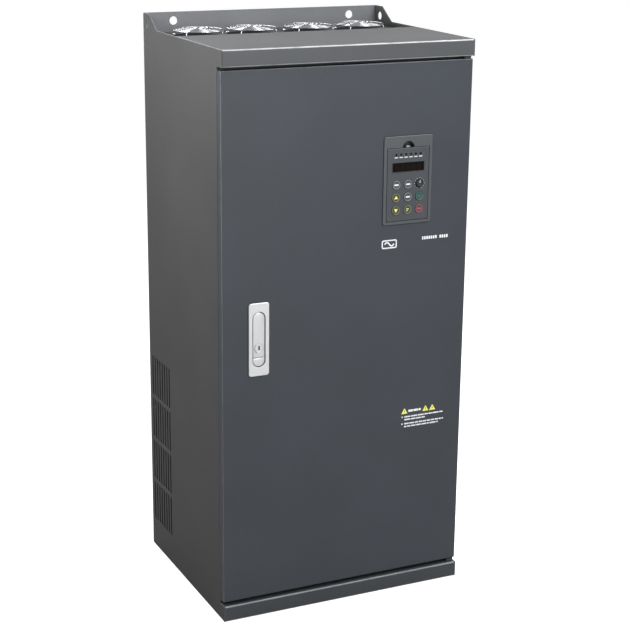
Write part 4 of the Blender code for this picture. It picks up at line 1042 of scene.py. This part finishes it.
# fan rotors with swept blades on a smooth hub
for i in range(1, 5):
    n = "fan_rotor_%d" % i
    lo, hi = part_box(n)
    c = (lo + hi) / 2
    bm = bmesh.new()
    lathe(bm, c.x, c.y, lo.z, "Z", [(0, 0.0186), (0.0010, 0.0196), (hi.z - lo.z - 0.0024, 0.0196), (hi.z - lo.z - 0.0008, 0.0188), (hi.z - lo.z - 0.0002, 0.0170)], 40)
    zc, hz, th = c.z, min(0.0105, (hi.z - lo.z) / 2 - 0.0016), 0.0008
    for k in range(7):
        g = []
        for a in range(7):
            r = 0.0190 + (0.0452 - 0.0190) * a / 6
            row = []
            for b in range(9):
                t = b / 8
                ang = 2 * pi * k / 7 + radians(44) * (t - 0.5) + radians(13) * (a / 6) ** 1.5
                z = zc + hz * (1 - 2 * t) * (1 - 0.12 * a / 6) + 0.0022 * sin(pi * t)
                row.append((c.x + r * cos(ang), c.y + r * sin(ang), z))
            g.append(row)
        tp = [[bm.verts.new((x, y, z + th)) for x, y, z in row] for row in g]
        bt = [[bm.verts.new((x, y, z - th)) for x, y, z in row] for row in g]
        for a in range(6):
            for b in range(8):
                bm.faces.new((tp[a][b], tp[a + 1][b], tp[a + 1][b + 1], tp[a][b + 1]))
                bm.faces.new((bt[a][b], bt[a][b + 1], bt[a + 1][b + 1], bt[a + 1][b]))
        for a in range(6):
            bm.faces.new((tp[a][0], bt[a][0], bt[a + 1][0], tp[a + 1][0]))
            bm.faces.new((tp[a][8], tp[a + 1][8], bt[a + 1][8], bt[a][8]))
        for b in range(8):
            bm.faces.new((tp[0][b], tp[0][b + 1], bt[0][b + 1], bt[0][b]))
            bm.faces.new((tp[6][b], bt[6][b], bt[6][b + 1], tp[6][b + 1]))
    fix(bm)
    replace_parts(mesh_obj("fan_rotor_blades_%d" % i, bm, M["black"], n, True), n)

# back panel with flush countersunk screws round its edge
bm = bmesh.new()
y0, y1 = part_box("back_panel")[0].y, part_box("back_panel")[1].y
holes = [(sx * 0.189, z, 0.0080) for sx in (-1, 1) for z in (0.018, 1.083)]
screws = [(sx * 0.2395, z) for sx in (-1, 1) for z in (0.060, 0.300, 0.540, 0.780, 1.020)] + [(x, 0.0125) for x in (-0.1, 0.0, 0.1)] + [(x, 1.0500) for x in (-0.12, 0.0, 0.12)]
loops = [(rrect(0, 0.55, 0.4996, 1.0996, 0.0012, 2), None)] + [([(x + r * cos(2 * pi * k / 36), z + r * sin(2 * pi * k / 36)) for k in range(36)], 1) for x, z, r in holes + [(x, z, 0.0046) for x, z in screws]]
ef, eb = [], []
for pts, _ in loops:
    f = [bm.verts.new((x, y0, z)) for x, z in pts]; b = [bm.verts.new((x, y1, z)) for x, z in pts]
    n = len(pts)
    for k in range(n):
        j = (k + 1) % n
        bm.faces.new((f[k], f[j], b[j], b[k]))
    for k in range(n):
        j = (k + 1) % n
        ef.append(bm.edges.get((f[k], f[j]))); eb.append(bm.edges.get((b[k], b[j])))
bmesh.ops.triangle_fill(bm, use_beauty=True, edges=ef)
bmesh.ops.triangle_fill(bm, use_beauty=True, edges=eb)
fix(bm)
bp_ = mesh_obj("back_panel_sheet", bm, M["back"], "cabinet", False)
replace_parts(bp_, "back_panel")
# flush screw heads; their crosses are near-black as painted shade in the recesses
bm = bmesh.new(); bs = bmesh.new()
for x, z in screws:
    lathe(bm, x, y1 - 0.0022, z, "Y", [(0, 0.0045), (0.0016, 0.0045), (0.0019, 0.0042), (0.0020, 0.0038)], 28)
    plate_poly(bs, rrect(x, z, 0.0040, 0.0009, 0.0002, 2), y1 - 0.0008, y1 - 0.00016)
    plate_poly(bs, rrect(x, z, 0.0009, 0.0040, 0.0002, 2), y1 - 0.0008, y1 - 0.00014)
fix(bm); fix(bs)
mesh_obj("back_panel_screws", bm, M["bolt"], "cabinet", True)
mesh_obj("back_panel_screw_crosses", bs, M["dark"], "cabinet")

# ---------------------------------------------------------------- edges that catch the light
for n, w in (("side_panel_left", 0.0007), ("side_panel_right", 0.0007),
             ("lock_plate", 0.0005), ("keypad_tray", 0.0005), ("keypad_body", 0.0004), ("heatsink", 0.0004),
             ("mounting_plate", 0.0004), ("top_cover", 0.0003), ("base_sill", 0.0003), ("door_panel", 0.0003),
             ("control_tray", 0.0003), ("door_stiffener", 0.0003), ("gland_plate", 0.0004), ("fan_deck", 0.0003),
             ("door_rail_upper", 0.0003), ("door_rail_lower", 0.0003), ("dc_busbar_plus", 0.0004),
             ("dc_busbar_minus", 0.0004), ("ground_bar", 0.0004), ("dc_choke", 0.0008), ("power_terminals", 0.0005),
             ("igbt_module_1", 0.0008), ("igbt_module_2", 0.0008), ("igbt_module_3", 0.0008), ("rectifier_module", 0.0008),
             ("lock_cam", 0.0004), ("hinge_upper_block", 0.0005), ("hinge_lower_block", 0.0005),
             ("fan_frame_1", 0.0006), ("fan_frame_2", 0.0006), ("fan_frame_3", 0.0006), ("fan_frame_4", 0.0006)):
    soften(n, w)

# ---------------------------------------------------------------- stage, light, camera
bm = bmesh.new()
bmesh.ops.create_grid(bm, x_segments=2, y_segments=2, size=45)
me = bpy.data.meshes.new("floor"); bm.to_mesh(me); bm.free()
fl = bpy.data.objects.new("floor", me)
bpy.context.scene.collection.objects.link(fl)
fl.location.z = -0.0006
# the floor is seen white, and is grey to the light that it bounces on to the cabinet
fm = bpy.data.materials.new("floor_pale")
fm.use_nodes = True
fnt = fm.node_tree
fnt.nodes.clear()
fo = fnt.nodes.new("ShaderNodeOutputMaterial")
lp = fnt.nodes.new("ShaderNodeLightPath")
dark = fnt.nodes.new("ShaderNodeBsdfDiffuse")
pale = fnt.nodes.new("ShaderNodeBsdfDiffuse")
glow = fnt.nodes.new("ShaderNodeEmission")
both = fnt.nodes.new("ShaderNodeAddShader")
pick = fnt.nodes.new("ShaderNodeMixShader")
dark.inputs["Color"].default_value = (FLOOR_BOUNCE, FLOOR_BOUNCE, FLOOR_BOUNCE, 1)
link(fnt, mix(fnt, (0.60, 0.60, 0.60), (0.64, 0.64, 0.64), noise(fnt, coords(fnt), 3)), pale.inputs["Color"])
glow.inputs["Color"].default_value = (1, 1, 1, 1)
fsep = fnt.nodes.new("ShaderNodeSeparateXYZ")
link(fnt, coords(fnt), fsep.inputs[0])
ax_ = fnt.nodes.new("ShaderNodeMath"); ax_.operation = "ABSOLUTE"; link(fnt, fsep.outputs["X"], ax_.inputs[0])
ay_ = fnt.nodes.new("ShaderNodeMath"); ay_.operation = "ABSOLUTE"; link(fnt, fsep.outputs["Y"], ay_.inputs[0])
out_ = fnt.nodes.new("ShaderNodeMath"); out_.operation = "MAXIMUM"
link(fnt, maprange(fnt, ax_.outputs[0], 0.235, 0.246, 0.0, 1.0), out_.inputs[0])
link(fnt, maprange(fnt, ay_.outputs[0], 0.185, 0.196, 0.0, 1.0), out_.inputs[1])
lit = fnt.nodes.new("ShaderNodeMath"); lit.operation = "MULTIPLY"
link(fnt, out_.outputs[0], lit.inputs[0]); lit.inputs[1].default_value = FLOOR_GLOW
link(fnt, lit.outputs[0], glow.inputs["Strength"])
link(fnt, pale.outputs[0], both.inputs[0]); link(fnt, glow.outputs[0], both.inputs[1])
link(fnt, lp.outputs["Is Camera Ray"], pick.inputs[0])
link(fnt, dark.outputs[0], pick.inputs[1]); link(fnt, both.outputs[0], pick.inputs[2])
link(fnt, pick.outputs[0], fo.inputs[0])
me.materials.append(fm)
fl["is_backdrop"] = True

wd = bpy.data.worlds.new("studio")
bpy.context.scene.world = wd
wd.use_nodes = True
wn = wd.node_tree
bg = wn.nodes["Background"]
wtc = wn.nodes.new("ShaderNodeTexCoord")
wsep = wn.nodes.new("ShaderNodeSeparateXYZ")
wn.links.new(wtc.outputs["Generated"], wsep.inputs[0])
sky = ramp(wn, wsep.outputs["Z"], [(0.0, (WORLD_LOW,) * 3), (0.25, (WORLD_MID,) * 3), (0.9, (WORLD_TOP,) * 3)])
wlp = wn.nodes.new("ShaderNodeLightPath")
side_dim = maprange(wn, wsep.outputs["X"], -1.0, 0.1, 0.42, 1.0)
dim = wn.nodes.new("ShaderNodeVectorMath"); dim.operation = "SCALE"
wn.links.new(sky, dim.inputs[0]); wn.links.new(side_dim, dim.inputs["Scale"])
wn.links.new(mix(wn, dim.outputs[0], (1.0, 1.0, 1.0), wlp.outputs["Is Camera Ray"]), bg.inputs["Color"])
bg.inputs["Strength"].default_value = 1.0


def area(name, loc, target, size, power, color=(1, 1, 1), size_y=None):
    l = bpy.data.lights.new(name, "AREA")
    l.energy = power; l.color = color; l.size = size
    if size_y:
        l.shape = "RECTANGLE"; l.size_y = size_y
    o = bpy.data.objects.new(name, l)
    bpy.context.scene.collection.objects.link(o)
    o.location = loc
    o.rotation_euler = (Vector(target) - Vector(loc)).to_track_quat("-Z", "Y").to_euler()
    o.visible_camera = False
    return o


for lamp in LAMPS:
    area(*lamp)

S = 0.5   # cabinet width, metres
eye = Vector((-2.00497 * S - 0.25, -4.99995 * S - 0.2, 2.78197 * S))
yaw, pitch, roll = 0.44228, -0.28391, 0.01064
fwd = Vector((sin(yaw) * cos(pitch), cos(yaw) * cos(pitch), sin(pitch)))
right = Vector((cos(yaw), -sin(yaw), 0))
up = right.cross(fwd)
r2 = right * cos(roll) + up * sin(roll)
u2 = up * cos(roll) - right * sin(roll)
cam = bpy.data.cameras.new("camera")
cam.sensor_width = 36.0
cam.lens = 36.0 * 1573.68 / 630.0
cam.clip_end = 200
co = bpy.data.objects.new("camera", cam)
bpy.context.scene.collection.objects.link(co)
m3 = Matrix((r2, u2, -fwd)).transposed()
co.matrix_world = Matrix.Translation(eye) @ m3.to_4x4()
bpy.context.scene.camera = co
bpy.context.scene.view_settings.view_transform = "Standard"

lo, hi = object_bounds()
